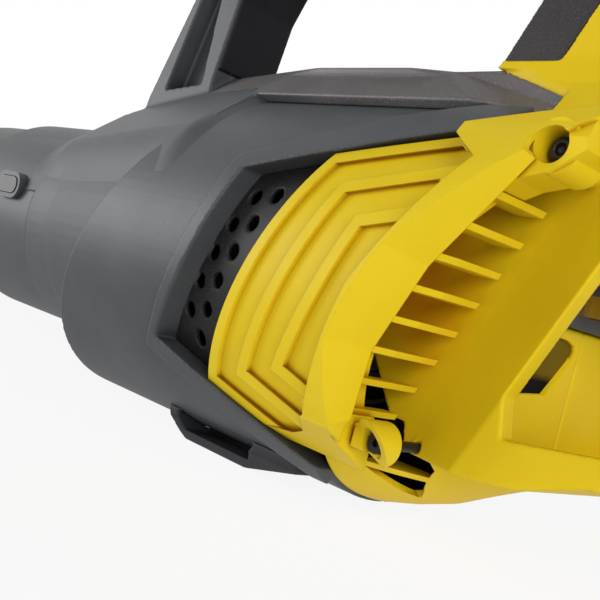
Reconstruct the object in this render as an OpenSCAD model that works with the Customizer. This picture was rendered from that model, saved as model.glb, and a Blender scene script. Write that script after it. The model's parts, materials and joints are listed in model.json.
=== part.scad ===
// Hand-held battery leaf blower: axial fan in a round housing, side air intakes, loop handle, open
// battery bay.
// Millimetres. +Z is up, the nozzle points to -X, the battery bay opens to +X, and left is -Y.
// The origin is on the ground, in the middle of the foot. The fan turns about the line y = 0, z = axis_z.

/* [Main housing] */
// height of the fan axis above the ground
axis_z = 90; // [89:0.5:96]
// outer radius of the round housing
drum_r = 86; // [84:0.5:88]
// wall of the housing
drum_wall = 3; // [2:0.25:4]
// where the slanted shoulder meets the underside of the housing
shoulder_low_x = -125; // [-135:1:-110]
// where the slanted shoulder meets the top of the housing
shoulder_top_x = -24; // [-40:1:-15]
// rear edge of the grey housing at its underside
drum_end_low_x = 78; // [74:1:82]
// rear edge of the grey housing at its top
drum_end_top_x = 133; // [128:1:140]
// front edge of the cone in front of the shoulder
cone_front_x = -178; // [-190:1:-170]
// outer radius of that cone at its front edge
cone_front_r = 65; // [64.5:0.25:67]
// outer radius of that cone where it meets the shoulder
cone_rear_r = 80; // [77:0.5:83]
// gap between the two halves of each clamshell
seam = 0.2; // [0.1:0.05:0.4]

/* [Recess and vent panel] */
// how far the frame round the intake recess stands proud
bezel_rise = 3; // [2:0.5:5]
// width of that frame
bezel_w = 7; // [5:0.5:9]
// outer radius of the perforated vent panel
panel_r = 79; // [78:0.5:80]
// thickness of the vent panel
panel_t = 2.5; // [2:0.25:3.5]
// diameter of the holes in the panel
vent_hole_d = 6.8; // [5:0.2:7.5]
// distance between hole rows
vent_row = 13; // [12:0.25:14]
// distance between the two holes of a row
vent_col = 12; // [10:0.25:12.5]

/* [Intake covers] */
// how far the crest stands out from the housing, which sets the width of the blower
crest_rise = 11; // [9.5:0.5:14]
// how far the first rib stands out from the housing
first_rib_rise = 0.5; // [0:0.25:1.5]
// rise from one rib to the next
rib_rise = 2.5; // [1.5:0.25:3]
// depth of the valley behind the bead of each rib
valley = 2; // [1:0.25:2.5]
// width of the gap in front of each rib
rib_gap = 1; // [0.6:0.1:1.6]
// wall of the cover
cover_wall = 3; // [2:0.25:3.5]
// vertical distance between the intake fins
fin_pitch = 12; // [11:0.25:13]
// thickness of an intake fin
fin_t = 2.4; // [1.6:0.2:3]
// distance of the fin tips from the middle plane
fin_tip_y = 41; // [40:0.5:46]
// outer radius of the upper screw boss
boss_r = 9.5; // [8.5:0.5:10.5]
// outer radius of the lower screw boss
low_boss_r = 8.2; // [7:0.2:9]
// diameter of the pocket for the upper cover screw
up_pocket_d = 12.4; // [10:0.2:13]
// diameter of the pocket for the lower cover screw
pocket_d = 10.4; // [8.6:0.2:11]

/* [Rear shell and battery bay] */
// half width of the rear shell behind the fins
neck_half = 38; // [36:0.5:39]
// half width of the rear shell at its rim
rim_half = 50; // [46:0.5:54]
// slant of the rim and the rear post from upright
rake = 24; // [22:1:30]
// half width of the battery bay
bay_half = 34; // [31:0.5:35]
// half width of the mouth of the battery bay
mouth_half = 42; // [39:0.5:45]
// height of the floor of the battery bay above the ground
bay_floor_z = 45; // [42:0.5:48]
// height of the ceiling of the battery bay above the ground
bay_roof_z = 124; // [118:0.5:128]
// front wall of the battery bay
bay_front_x = 150; // [148:0.5:156]
// rear end of the blower
rear_x = 236; // [228:1:244]
// distance of each battery rail from the middle plane
rail_y = 24; // [20:0.5:26]

/* [Handle] */
// top of the grip above the ground
grip_top_z = 299; // [292:0.5:306]
// height of the grip
grip_h = 46; // [40:0.5:50]
// thickness of the grip without its rubber
grip_w = 32; // [28:0.5:36]
// thickness of the rubber on the grip
rubber_t = 2.5; // [1.5:0.25:3.5]
// thickness of the front and rear posts
post_w = 40; // [36:0.5:46]
// how high the top of the spine stands over the round housing
spine_rise = 14; // [12:0.5:18]
// half width of the flat top of the spine
spine_half = 24; // [21:0.5:28]

/* [Trigger and speed lock] */
// how far the trigger swings
trigger_turn = 12; // [8:1:16]
// thickness of the trigger
trigger_w = 15; // [12:0.5:18]
// radius of the trigger pin
trigger_pin_r = 2; // [1.5:0.1:2.5]
// radius of the hub of the speed lock lever
lever_r = 9; // [7.5:0.25:11]

/* [Air path] */
// inner radius of the fan duct
duct_r = 58; // [57.5:0.25:59]
// wall of the fan duct
duct_wall = 2; // [1.5:0.25:2.5]
// gap between the fan blades and the duct
fan_gap = 1.2; // [0.8:0.1:2]
// radius of the fan hub and of the motor pod
hub_r = 26; // [25:0.5:28]
// number of fan blades
fan_blades = 12; // [7:1:14]
// number of straightening vanes in front of the fan
vanes = 9; // [5:1:11]
// pitch of the fan blades from the plane of the fan
blade_pitch = 38; // [30:1:45]
// length of the fan along its axis
fan_len = 26; // [22:1:30]

/* [Motor] */
// outer radius of the motor stator
stator_r = 21; // [19:0.5:22]
// length of the motor stator
stator_len = 36; // [30:1:40]
// radius of the motor shaft
shaft_r = 4; // [3:0.25:5]
// radial running gap between rotor and stator
air_gap = 0.6; // [0.4:0.1:1]

/* [Blower tube] */
// outer radius of the tube at its collar
tube_r = 59; // [58.5:0.25:60]
// wall of the tube
tube_wall = 2; // [1.5:0.25:3]
// visible length of the tube in front of its collar
tube_len = 289; // [250:1:320]
// outer radius of the tube at its front end
tube_front_r = 51; // [48:0.5:55]
// length of the end nozzle in front of the tube
nozzle_len = 89; // [70:1:110]
// radius of the bore at the mouth of the nozzle
mouth_r = 40; // [34:0.5:42]
// outer radius of the lock collar
collar_r = 63; // [62:0.5:64]
// length of the lock collar
collar_len = 96; // [80:1:100]

/* [Foot] */
// length of the flat sole of the foot
sole_len = 46; // [40:1:54]
// width of the foot
foot_w = 84; // [76:1:92]

/* [Which piece to build] */
// name of one piece, or all of them

/* [Hidden] */
$fn = 72;
cut = 1;
spine_z = axis_z + drum_r + spine_rise;
big = 400;
screw_head_h = 3;
fit_gap = 0.3;
snug = 0.05;
bed_gap = 0.15;
crest_r = drum_r + crest_rise;
rib_first_r = drum_r + first_rib_rise;

// ---------- shared shapes ----------

// a plate seen from the side: outline in x and z, from y0 to y1
module side_plate(outline, y0, y1) {
    translate([0, y1, 0])
        rotate([90, 0, 0])
            linear_extrude(y1 - y0) polygon(outline);
}

// a bar seen from the rear: outline in y and z, from x0 to x1
module rear_bar(outline, x0, x1) {
    translate([x0, 0, 0])
        rotate([90, 0, 90])
            linear_extrude(x1 - x0) polygon(outline);
}

// a box given by its two corners
module block(low, high) {
    translate(low) cube(high - low);
}

// a round bar along the fan axis
module rod(x0, x1, r) {
    translate([x0, 0, axis_z])
        rotate([0, 90, 0]) cylinder(h = x1 - x0, r = r);
}

// a round pin across the blower at [x, z], from y0 to y1
module pin(at, y0, y1, r) {
    translate([at[0], y1, at[1]])
        rotate([90, 0, 0]) cylinder(h = y1 - y0, r = r);
}

// a body turned about the fan axis: outline in x and radius
module turned(outline) {
    translate([0, 0, axis_z])
        rotate([0, 90, 0])
            rotate_extrude() polygon([for (p = outline) [p[1], p[0]]]);
}

// children on the left as drawn, or mirrored to the right
module on_side(side) {
    mirror([0, side > 0 ? 1 : 0, 0]) children();
}

// the left half of its children, short of the middle plane by half the seam
module left_half() {
    difference() {
        children();
        block([-2 * big, -seam / 2, -big], [big, big, big]);
    }
}

// a screw across the blower: head at y_head, threaded end at y_end
module screw(at, y_head, y_end, r) {
    toward = y_end > y_head ? 1 : -1;
    translate([at[0], y_head, at[1]])
        rotate([-90 * toward, 0, 0]) {
            difference() {
                cylinder(h = screw_head_h, r = 2 * r - 0.2);
                translate([0, 0, -cut]) cylinder(h = cut + 1.6, r = r * 0.8, $fn = 6);
            }
            translate([0, 0, screw_head_h - 0.1]) cylinder(h = abs(y_end - y_head) - screw_head_h + 0.1,
                r = r);
        }
}

// ---------- outlines ----------

function unit(v) = v / norm(v);
function left_of(a, b) = let(u = unit(b - a)) [-u[1], u[0]];

// a closed outline, drawn anticlockwise, moved inwards by d with its corners kept sharp
function inset(p, d) = [for (i = [0:len(p) - 1])
    let(n1 = left_of(p[(i + len(p) - 1) % len(p)], p[i]))
    let(n2 = left_of(p[i], p[(i + 1) % len(p)]))
    p[i] + d * (n1 + n2) / (1 + n1 * n2)];

// a line from a to b that bows to its left by bow
function bowed(a, b, bow, steps = 8) = [for (i = [0:steps])
    let(t = i / steps) a + t * (b - a) + 4 * bow * t * (1 - t) * left_of(a, b)];

// the x of a raked line that passes x_axis at the height of the fan axis
function raked(x_axis, z) = x_axis + (z - axis_z) * tan(rake);

// a point in side view given by its height over the fan axis
function over(x, dz) = [x, axis_z + dz];

// frame of the recess for the intake: front edge raked, top and bottom edges spreading to the rear
frame_top_corner = over(18, 42.5);
frame_low_corner = over(-16, -47);
frame_end_x = 140;
recess_outline = concat(
    [over(frame_end_x, -105), over(frame_end_x, 92)],
    bowed(frame_top_corner, frame_low_corner, 5));

// opening inside that frame; its top and bottom edges meet the intake cover
opening_top_corner = frame_top_corner + [bezel_w + 1.5, 1 - bezel_w];
opening_low_corner = frame_low_corner + [bezel_w + 2, bezel_w - 1.5];
opening_outline = concat(
    [over(frame_end_x, -92), over(frame_end_x, 69)],
    bowed(opening_top_corner, opening_low_corner, 5));

// outline of rib s of the intake cover, each a smaller C inside the one before
rib_up = [17.5, -12];
rib_low = [25.5, 7.4];
rib_count = 4;
cover_back_x = 200;
function rib_outline(s) =
    let(u = over(69, 48) + s * rib_up)
    let(l = over(25, -52.5) + s * rib_low)
    concat(
        [[cover_back_x, l[1] - 0.33 * (cover_back_x - l[0])]],
        [[cover_back_x, u[1] + 0.25 * (cover_back_x - u[0])]],
        bowed(u, l, 2));
function rib_r(k) = rib_first_r + k * rib_rise;
gap_depth = 1.8;

// the crest of the cover starts here, on the height of the fan axis, and leans less below it than above it
crest_x = 115.5;
crest_lean_up = 29.5;
crest_lean_low = 19;
// its rear face falls inward to an edge at this y, through points [x, z] with a lean of their own
crest_edge_y = 75;
crest_fall = 14;
crest_rear = [[114.5, 58, 3], [122.3, 85, 24.5], [140, 115, 37.5]];
// the fins end on a raked line of their own
fin_end_x = 127.4;
fin_lean = 26;

// ---------- round housing ----------

shoulder_slant = atan((shoulder_top_x - shoulder_low_x) / (2 * drum_r));
end_slant = atan((drum_end_top_x - drum_end_low_x) / (2 * drum_r));
drum_in_r = drum_r - drum_wall;
cone_wall = 3;

// everything in front of the shoulder plane moved back by d
module ahead_of_shoulder(d = 0) {
    translate([shoulder_low_x + d, 0, axis_z - drum_r])
        rotate([0, shoulder_slant, 0])
            block([-big, -big, -big], [0, big, big]);
}

// everything behind the slanted rear edge of the grey housing moved back by d
module behind_end(d = 0) {
    translate([drum_end_low_x + d, 0, axis_z - drum_r])
        rotate([0, end_slant, 0])
            block([0, -big, -big], [big, big, big]);
}

cone_lip_x = cone_front_x + 28;
cone_mid_x = shoulder_top_x - 40;

// solid of the cone, or of its inside when shrunk by d
module cone_body(d) {
    turned([
        [cone_front_x - (d > 0 ? cut : 0), 0],
        [cone_front_x - (d > 0 ? cut : 0), cone_front_r - d],
        [cone_lip_x, cone_front_r + 2 - d],
        [cone_mid_x, cone_rear_r - 2.5 - d],
        [shoulder_top_x + 10, cone_rear_r - d],
        [shoulder_top_x + 10, 0]]);
}

module drum_body(r, ahead) {
    difference() {
        rod(shoulder_low_x - 10, drum_end_top_x + 20, r);
        ahead_of_shoulder(ahead);
        behind_end();
    }
}

module opening_prism(d, y0, y1) {
    side_plate(inset(opening_outline, d), y0, y1);
}

skirt_t = 2.5;
recess_floor_y = 40;

// raised frame and the skirt that carries the vent panel
module bezel() {
    difference() {
        intersection() {
            side_plate(recess_outline, -crest_r, -recess_floor_y);
            drum_body(drum_r + bezel_rise, 0);
        }
        opening_prism(0, -crest_r - cut, -recess_floor_y + 10);
        rod(-big, big, drum_in_r + cut);
    }
    difference() {
        intersection() {
            opening_prism(-skirt_t, -crest_r, -recess_floor_y);
            drum_body(drum_r, 0);
        }
        opening_prism(0, -crest_r - cut, -recess_floor_y + 10);
        rod(-big, big, panel_r - panel_t);
    }
}

housing_screw_at = [over(-70, 70.5), over(30, 79), over(-48, -79), over(-92, -79)];
screw_r = 2;
housing_boss_r = 5;
housing_boss_y = 14;

module housing_half(side) {
    on_side(side) left_half() {
        difference() {
            union() {
                cone_body(0);
                drum_body(drum_r, 0);
                drum_body(drum_r - 3, -5);
            }
            difference() {
                union() {
                    cone_body(cone_wall);
                    drum_body(drum_in_r, drum_wall + 1.5);
                }
                for (at = housing_screw_at) pin(at, -housing_boss_y, housing_boss_y, housing_boss_r);
            }
            opening_prism(0, -big, -recess_floor_y);
            for (at = housing_screw_at) {
                pin(at, -housing_boss_y + 2, cut, screw_r + snug);
                if (side > 0) pin(at, -big, -housing_boss_y + 4, 2 * screw_r + fit_gap);
            }
            rear_bar([[-spine_fit_half, axis_z], [spine_fit_half, axis_z], [spine_fit_half, big],
                [-spine_fit_half, big]],
                spine_slot_x, spine_slot_x + spine_slot_len);
            foot_seat();
        }
        bezel();
    }
}

// slot in the crown of the housing for the tongue of the spine
spine_fit_half = 12;
spine_slot_x = 60;
spine_slot_len = 30;

module foot_seat() {
    block([-foot_bar_x - fit_gap, -foot_tongue_half - fit_gap, -cut],
        [foot_bar_x + fit_gap, foot_tongue_half + fit_gap, 12]);
}

// ---------- foot ----------

foot_bar_x = 12;
foot_tongue_half = 14;
foot_rise = 20;
foot_slot = 5;

module foot_shape() {
    difference() {
        intersection() {
            side_plate([[-sole_len / 2, 0], [sole_len / 2, 0], [62, 9], [66, foot_rise],
                [-34, foot_rise], [-26, 3]], -foot_w / 2, foot_w / 2);
            rear_bar([[-foot_w / 2 + 8, 0], [foot_w / 2 - 8, 0], [foot_w / 2, 10], [foot_w / 2, 40],
                [-foot_w / 2, 40], [-foot_w / 2, 10]], -50, 80);
        }
        rod(-60, 90, drum_r + snug);
        for (s = [-1, 1]) on_side(s) side_plate(inset(recess_outline, -fit_gap), -big, -foot_w / 2 + 4);
        for (s = [-1, 1]) on_side(s)
            side_plate([[-20, foot_slot], [28, foot_slot], [34, foot_slot + 9], [-24, foot_slot + 9]],
                -big, -foot_tongue_half - 6);
    }
    block([-foot_bar_x, -foot_tongue_half, 3], [foot_bar_x, foot_tongue_half, 8]);
}

// ---------- vent panels ----------

module vent_panel(side) {
    on_side(side) difference() {
        intersection() {
            opening_prism(snug, -crest_r, -recess_floor_y);
            rod(-60, 84, panel_r);
        }
        rod(-60 - cut, crest_x + cut, panel_r - panel_t);
        side_plate(rib_outline(1), -big, -recess_floor_y + cut);
        for (row = [0:5])
            pin(over(43.5 - 5.9 * row, 28 - vent_row * row), -big, 0, vent_hole_d / 2);
        for (row = [0:4])
            pin(over(43.5 - vent_col - 5.9 * row, 26 - vent_row * row), -big, 0, vent_hole_d / 2);
    }
}

// ---------- intake covers ----------

cover_bed_r = panel_r + fit_gap;
panel_back_x = 100;
duct_room_r = 72;
up_boss = over(164, 57);
low_boss = over(119.5, -52);
boss_face_y = 72;
boss_end_y = 54;
low_boss_face_y = 67.4;
low_boss_end_y = 61;
boss_floor = 4;
cover_screw_end_y = 24;
low_boss_floor = 1.6;
low_boss_tilt = 40;
low_boss_turn = 20;
belly_top_z = 45;
shell_low_z = 34.8;

// everything behind the bent and sloping rear face of the crest, moved back by d
module behind_crest(d = 0) {
    intersection_for(p = crest_rear)
        translate([p[0] + d, -crest_edge_y, p[1]])
            rotate([0, p[2], 0]) rotate([0, 0, -crest_fall]) block([0, -big, -big], [big, big, big]);
}

// everything behind the raked line that ends the fins
module behind_fins(d = 0) {
    translate([fin_end_x + d, 0, axis_z])
        rotate([0, fin_lean, 0]) block([0, -big, -big], [big, big, big]);
}

// everything in front of the bent front edge of the crest, whose foot sweeps forward to the housing
crest_top = [over(122, 110), over(129, 58)];
crest_foot = [over(88, -57), over(76, -60.5), over(40, -64)];
function crest_lean(dz) = dz * tan(dz > 0 ? crest_lean_up : crest_lean_low);
module ahead_of_crest(d = 0) {
    side_plate(concat(
        [for (p = crest_top) p + [d, 0]],
        [for (dz = [49, 0, -49]) over(crest_x + d + crest_lean(dz), dz)],
        [for (p = crest_foot) p + [d, -d]],
        [over(-big, -64 - d), over(-big, 110)]), -big, big);
}

// rib k: bead at full radius, valley behind it, gap in front of it
module rib(k) {
    difference() {
        intersection() {
            side_plate(rib_outline(k), -crest_r - cut, -recess_floor_y);
            rod(0, cover_back_x, rib_r(k));
        }
        intersection() {
            side_plate(inset(rib_outline(k), 5), -crest_r - cut, -recess_floor_y + cut);
            difference() {
                rod(-cut, cover_back_x, crest_r + cut);
                rod(-2 * cut, cover_back_x + cut, rib_r(k) - valley);
            }
        }
        difference() {
            side_plate(inset(rib_outline(k + 1), -rib_gap), -crest_r - cut, -recess_floor_y + cut);
            rod(-2 * cut, cover_back_x + cut, rib_r(k) - valley - gap_depth);
        }
    }
}

// hollow behind rib k
module rib_hollow(k) {
    difference() {
        intersection() {
            side_plate(inset(rib_outline(k), cover_wall), -crest_r, 0);
            rod(0, cover_back_x, rib_r(k) - valley - cover_wall);
            ahead_of_crest();
        }
        crest_root();
    }
}

// solid material that joins the foot of the crest to the belly
root_half = 54;
root_end_x = 108;
module crest_root() {
    intersection() {
        behind_end(fit_gap);
        block([0, -big, 0], [root_end_x, -root_half, belly_top_z]);
    }
}

module crest() {
    difference() {
        intersection() {
            side_plate(rib_outline(0), -crest_r - cut, -recess_floor_y);
            rod(0, cover_back_x, crest_r);
        }
        ahead_of_crest();
    }
}

module crest_hollow() {
    difference() {
        rod(0, cover_back_x + cut, crest_r - cover_wall);
        ahead_of_crest(cover_wall);
        difference() {
            behind_crest(-cover_wall);
            block([0, -crest_edge_y, 0], [big, 0, big]);
        }
        block([0, -big, 0], [root_end_x, -root_half, belly_top_z]);
    }
}

// section of the cover seen from the rear: the sides run down to a belly as round as the housing
belly_r = 85;
function cover_section(d) = concat(
    [[-crest_r - cut, big], [-crest_r - cut, axis_z - 36], [-84 + d, axis_z - 50]],
    [for (t = [140:10:180]) [sin(t) * -(belly_r - d), axis_z + cos(t) * (belly_r - d)]],
    [[0, big]]);

// ribs and crest keep inside this section and above the underside of the belly
module crest_envelope() {
    intersection() {
        rear_bar(cover_section(0), 0, cover_back_x);
        side_plate(concat([for (p = belly_line) over(p[0], -p[1])],
            [over(cover_back_x, -40), over(cover_back_x, big), over(0, big), over(0, -85.6)]),
            -crest_r - cut, 0);
    }
}

function fin_z(i) = axis_z + 4 + i * fin_pitch;

module fins() {
    intersection() {
        for (i = [-4:4])
            block([0, -crest_r + 8, fin_z(i) - fin_t / 2],
                [cover_back_x, -fin_tip_y, fin_z(i) + fin_t / 2]);
        rod(0, cover_back_x, crest_r - cut);
        difference() {
            block([0, -crest_r, 0], [cover_back_x, 0, 200]);
            ahead_of_crest(-2);
            behind_fins();
            behind_crest(-0.5);
        }
    }
}

// the belly is turned about the fan axis: its radius falls from the housing to the rear shell
belly_wall = 3;
belly_end_x = 152;
belly_line = [[66, 85.6], [82, 84.4], [96, 80.5], [110, 75.5], [125, 67.5], [138, 61], [belly_end_x, 55]];

// solid of the belly, or of its inside when shrunk by d
module belly_solid(d) {
    turned(concat([[66 - (d > 0 ? cut : 0), 0]],
        [for (p = belly_line) [p[0] + (d > 0 && p[0] == belly_end_x ? cut : 0), p[1] - d]],
        [[belly_end_x + (d > 0 ? cut : 0), 0]]));
}

// the belly in side view reaches up to the crest and to the rear shell
module belly_side() {
    side_plate([[0, -cut], [belly_end_x + cut, -cut], [belly_end_x + cut, shell_low_z], [112, shell_low_z],
        [root_end_x, belly_top_z], [0, belly_top_z]], -crest_r, -seam / 2);
}

// rounded bottom of the yellow rear end, with a window on each side for the lowest slat
window_outline = [over(98, -62.5), over(101.5, -67), over(106, -72.5), over(109, -74), over(113, -70.5),
    over(119, -64),
    over(124, -59), over(125, -50), over(104, -50)];
module belly() {
    difference() {
        intersection() {
            belly_solid(0);
            belly_side();
            behind_end(fit_gap);
        }
        belly_solid(belly_wall);
        side_plate(window_outline, -crest_r, -18);
    }
}

// the slat that divides the window of the belly
low_slat_z = axis_z - 63.8;
module low_slat() {
    intersection() {
        block([96, -crest_r, low_slat_z - fin_t / 2], [122, -22, low_slat_z + fin_t / 2]);
        belly_solid(0);
    }
}

module cover(side) {
    on_side(side) {
        difference() {
            intersection() {
                union() {
                    for (k = [0:rib_count - 1]) rib(k);
                    crest();
                }
                union() {
                    opening_prism(fit_gap, -big, 0);
                    behind_end(fit_gap);
                }
                crest_envelope();
            }
            difference() {
                rod(-cut, panel_back_x, cover_bed_r);
                crest_root();
            }
            rod(-cut, cover_back_x + cut, duct_room_r);
            for (k = [0:rib_count - 1]) rib_hollow(k);
            crest_hollow();
            behind_crest();
            cover_bores();
            intersection() {
                pin(low_boss, -big, -low_boss_end_y, low_boss_r);
                ahead_of_low_boss();
            }
        }
        difference() {
            union() {
                fins();
                low_slat();
                belly();
                cover_arm();
                pin(up_boss, -boss_face_y, -boss_end_y, boss_r);
                low_boss_ring();
            }
            cover_bores();
            post_pillars(fit_gap);
        }
    }
}

// everything outside the face of the lower boss, which leans back at the top and turns to the rear
module ahead_of_low_boss() {
    translate([low_boss[0], -low_boss_face_y, low_boss[1]])
        rotate([0, 0, -low_boss_turn]) rotate([low_boss_tilt, 0, 0]) block([-big, -big, -big],
            [big, 0, big]);
}

// the lower boss and its web to the crest
low_web = [[-16, -12], [-4, -12.5], [3, 0.5 - low_boss_r], [0, low_boss_r], [-5, 6], [-14, 3]];
module low_boss_ring() {
    difference() {
        union() {
            pin(low_boss, -low_boss_face_y - 8, -low_boss_end_y, low_boss_r);
            intersection() {
                side_plate([for (p = low_web) low_boss + p], -low_boss_face_y - 6, -low_boss_end_y);
                crest_envelope();
            }
        }
        ahead_of_low_boss();
    }
}

// screw hole and head pocket of both bosses
module cover_bores() {
    for (b = [[up_boss, boss_end_y + boss_floor, up_pocket_d],
        [low_boss, low_boss_end_y + low_boss_floor, pocket_d]]) {
        pin(b[0], -big, -b[1], b[2] / 2);
        pin(b[0], -big, 0, screw_r + snug);
    }
}

// web that carries the upper boss behind the crest, and the short web of the lower one
module cover_arm() {
    difference() {
        intersection() {
            side_plate([over(118, 50), over(128, 32), over(154, 45), over(165, 48), over(177, 56),
                over(174, 68), over(161, 72), over(126, 63)], -84, -56);
            rod(0, cover_back_x, crest_r - 1);
            behind_end(fit_gap);
            rear_bar([[-74, 0], [-56, 0], [-56, 300], [-58, 300], [-64, axis_z + 72],
                [-74, axis_z + 60]], 0, cover_back_x);
        }
        rod(-cut, crest_x + 30, cover_bed_r);
        ahead_of_crest(cover_wall);
    }
    side_plate([low_boss + [-10, -4], low_boss + [0, -4], low_boss + [0, 3], low_boss + [-10, 4]],
        -low_boss_end_y - 6, -low_boss_end_y);
}

// posts of the rear shell that the cover screws run into, or their room when grown by d
module post_pillars(d) {
    pin(up_boss, -boss_end_y + 0.1 + d, -30, 6 + d);
    pin(low_boss, -42 - d, -30, 3.4 + d);
}

// ---------- spine ----------

spine_front_x = -93;
spine_notch_x = 98;
spine_tip_x = 133;
spine_side_half = 41;
spine_side_z = spine_z - 19;
notch_half = 28;
notch_front_half = 20;
flank_x = -30;
flank_yaw = 12;

function spine_section() = [
    [-spine_side_half + 8, 146], [spine_side_half - 8, 146], [spine_side_half - 8, spine_side_z - 7],
    [spine_side_half, spine_side_z], [spine_half, spine_z - 4], [spine_half, spine_z],
    [-spine_half, spine_z], [-spine_half, spine_z - 4], [-spine_side_half, spine_side_z],
    [-spine_side_half + 8, spine_side_z - 7]];

module spine_bed() {
    rod(-big, big, drum_r + bed_gap);
}

// what lies outside the two flanks that sweep in towards the front post
flank_len = 30;
module outside_flanks() {
    flank_tilt = atan((spine_z - 4 - spine_side_z) / (spine_side_half - spine_half));
    for (side = [-1, 1]) on_side(side)
        translate([flank_x, -spine_side_half, spine_side_z])
            rotate([0, 0, -flank_yaw]) rotate([flank_tilt, 0, 0])
                block([-big, -big, 0], [flank_len, big, big]);
}

// the two tips at the rear have a slanted facet outside and a steep one along the notch
tip_facet_at = [104, -spine_side_half, spine_side_z - 0.5];
tip_edge_at = [88, 2 - spine_half, spine_z - 5];
module above_tips() {
    for (side = [-1, 1]) on_side(side) intersection() {
        translate(tip_facet_at) rotate([32.2, 8.8, 0]) block([-big, -big, 0], [big, big, big]);
        translate(tip_edge_at) rotate([63.1, -6.5, 0]) block([-big, -big, 0], [big, big, big]);
    }
}

module spine_shape() {
    difference() {
        intersection() {
            side_plate([[spine_front_x, 100], [spine_tip_x, 100], [spine_tip_x, spine_z - 13],
                [spine_notch_x, spine_z], [spine_front_x, spine_z]], -60, 60);
            union() {
                rear_bar(spine_section(), flank_x, spine_tip_x);
                block([spine_front_x, -60, 130], [flank_x + cut, 60, spine_z]);
            }
        }
        outside_flanks();
        above_tips();
        difference() {
            spine_bed();
            ahead_of_shoulder(-5 - fit_gap);
        }
        cone_body(-bed_gap);
        spine_notch(0);
    }
    block([spine_slot_x + fit_gap, -spine_fit_half + fit_gap, axis_z + drum_r - 6],
        [spine_slot_x + spine_slot_len - fit_gap, spine_fit_half - fit_gap, spine_z - 8]);
}

// pointed notch behind the flat top of the spine, filled by the yellow rear shell
module spine_notch(d) {
    translate([0, 0, 140])
        linear_extrude(big)
            polygon([[spine_notch_x + d, -notch_front_half + d], [spine_tip_x + 10, -notch_half + d],
                [spine_tip_x + 10, notch_half - d], [spine_notch_x + d, notch_front_half - d]]);
}

// ---------- front post ----------

post_back_low_x = -94;
post_back_top_x = -88;
post_joint_x = -72;
core_top_z = grip_top_z - rubber_t;
core_low_z = grip_top_z - grip_h + rubber_t;
post_back_top_z = core_low_z - 26.5;

post_foot_x = -166;
post_foot_half = 30;
front_post_outline = [
    [post_back_low_x - rubber_t, 146], [post_back_low_x - rubber_t, 184],
        [post_back_top_x - rubber_t, post_back_top_z],
    [post_back_top_x + 6, core_low_z - 6], [post_joint_x, core_low_z], [post_joint_x, core_top_z],
    [-104, core_top_z - 4], [-122, core_top_z - 24], [-133, core_low_z - 23.5], [-155, 173], [-158, 146]];

front_channel = [[-106, 182], [-108, core_low_z - 23.5], [-108, core_top_z - 22], [-117, core_top_z - 30],
    [-127, core_low_z - 25.5], [-140, 178]];
channel_depth = 12;

module front_post(side) {
    on_side(side) left_half() {
        difference() {
            union() {
                side_plate(front_post_outline, -post_w / 2, post_w / 2);
                difference() {
                    side_plate([[post_foot_x, 147], [spine_front_x - snug, 147],
                        [spine_front_x - snug, spine_z],
                        [-140, spine_z - 14], [-156, spine_z - 22], [post_foot_x, spine_z - 31]],
                        -post_foot_half, post_foot_half);
                    outside_flanks();
                }
            }
            cone_body(-bed_gap);
            side_plate(front_channel, -big, -post_w / 2 + channel_depth);
            side_plate(front_channel, post_w / 2 - channel_depth, big);
            // pocket for the tongue of the grip core
            block([post_joint_x - tongue_len, -tongue_w / 2 - fit_gap, core_low_z + 8 - fit_gap],
                [post_joint_x + cut, tongue_w / 2 + fit_gap, core_top_z - 8 + fit_gap]);
            for (at = post_screw_at) {
                pin(at, side > 0 ? -big : -10, cut, screw_r + snug);
                if (side > 0) pin(at, -big, -12, 2 * screw_r + fit_gap);
            }
        }
    }
}

tongue_len = 14;
tongue_w = 16;
post_screw_at = [[-101, 206], [-122, 168]];

// ---------- rear shell: bay, neck, rear post and grip core in one pair of halves ----------

rim_low = [155, 66];
function rim_x(z) = rim_low[0] + (z - rim_low[1]) * tan(rake);
lip_z = 52;
lip_back_z = 62;
neck_front_x = 108;
neck_in_x = 62;
post_front_x = 94;
post_back_x = 150;
post_low_z = 189;
function post_x(x, z) = x + (z - post_low_z) * tan(rake);
roof_end_z = 152;
way_x = 144;
grip_way_z = core_top_z - 21;
way_low_z = 128;
pad_top_z = core_low_z - 17.5;
function post_back_at(z) = [post_x(post_back_x, z), z];

rear_outline = [
    [neck_front_x, shell_low_z + fit_gap], [148, shell_low_z + fit_gap], [167, 37.5], [192, 46],
        [rear_x, 50],
    [rear_x, lip_back_z], [158, lip_z], rim_low, [rim_x(bay_roof_z), bay_roof_z],
    [rear_x - 4, bay_roof_z + 6], [rear_x, bay_roof_z + 14], [rear_x - 6, roof_end_z],
        [post_back_x + 6, 192],
    post_back_at(core_low_z - 5.5), [post_x(post_back_x, core_low_z + 12.5), core_top_z - 14],
    [post_x(post_back_x, core_low_z + 0.5), core_top_z],
    [post_joint_x, core_top_z], [post_joint_x, core_low_z], [86, core_low_z],
    [post_x(post_front_x, pad_top_z - 2), pad_top_z], [post_front_x, post_low_z], [post_front_x, 158],
        [neck_in_x, 154],
    [neck_in_x, 96], [neck_front_x - 12, 50]];

function rear_section() = [
    [-rim_half, 20], [rim_half, 20], [rim_half, 136], [39.6, 162], [spine_half, 184], [post_w / 2, 196],
    [post_w / 2, core_low_z - 9.5], [grip_w / 2, core_low_z], [grip_w / 2, core_top_z - 7],
        [grip_w / 2 - 7, core_top_z],
    [-grip_w / 2 + 7, core_top_z], [-grip_w / 2, core_top_z - 7], [-grip_w / 2, core_low_z],
        [-post_w / 2, core_low_z - 9.5],
    [-post_w / 2, 196], [-spine_half, 184], [-39.6, 162], [-rim_half, 136]];

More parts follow.
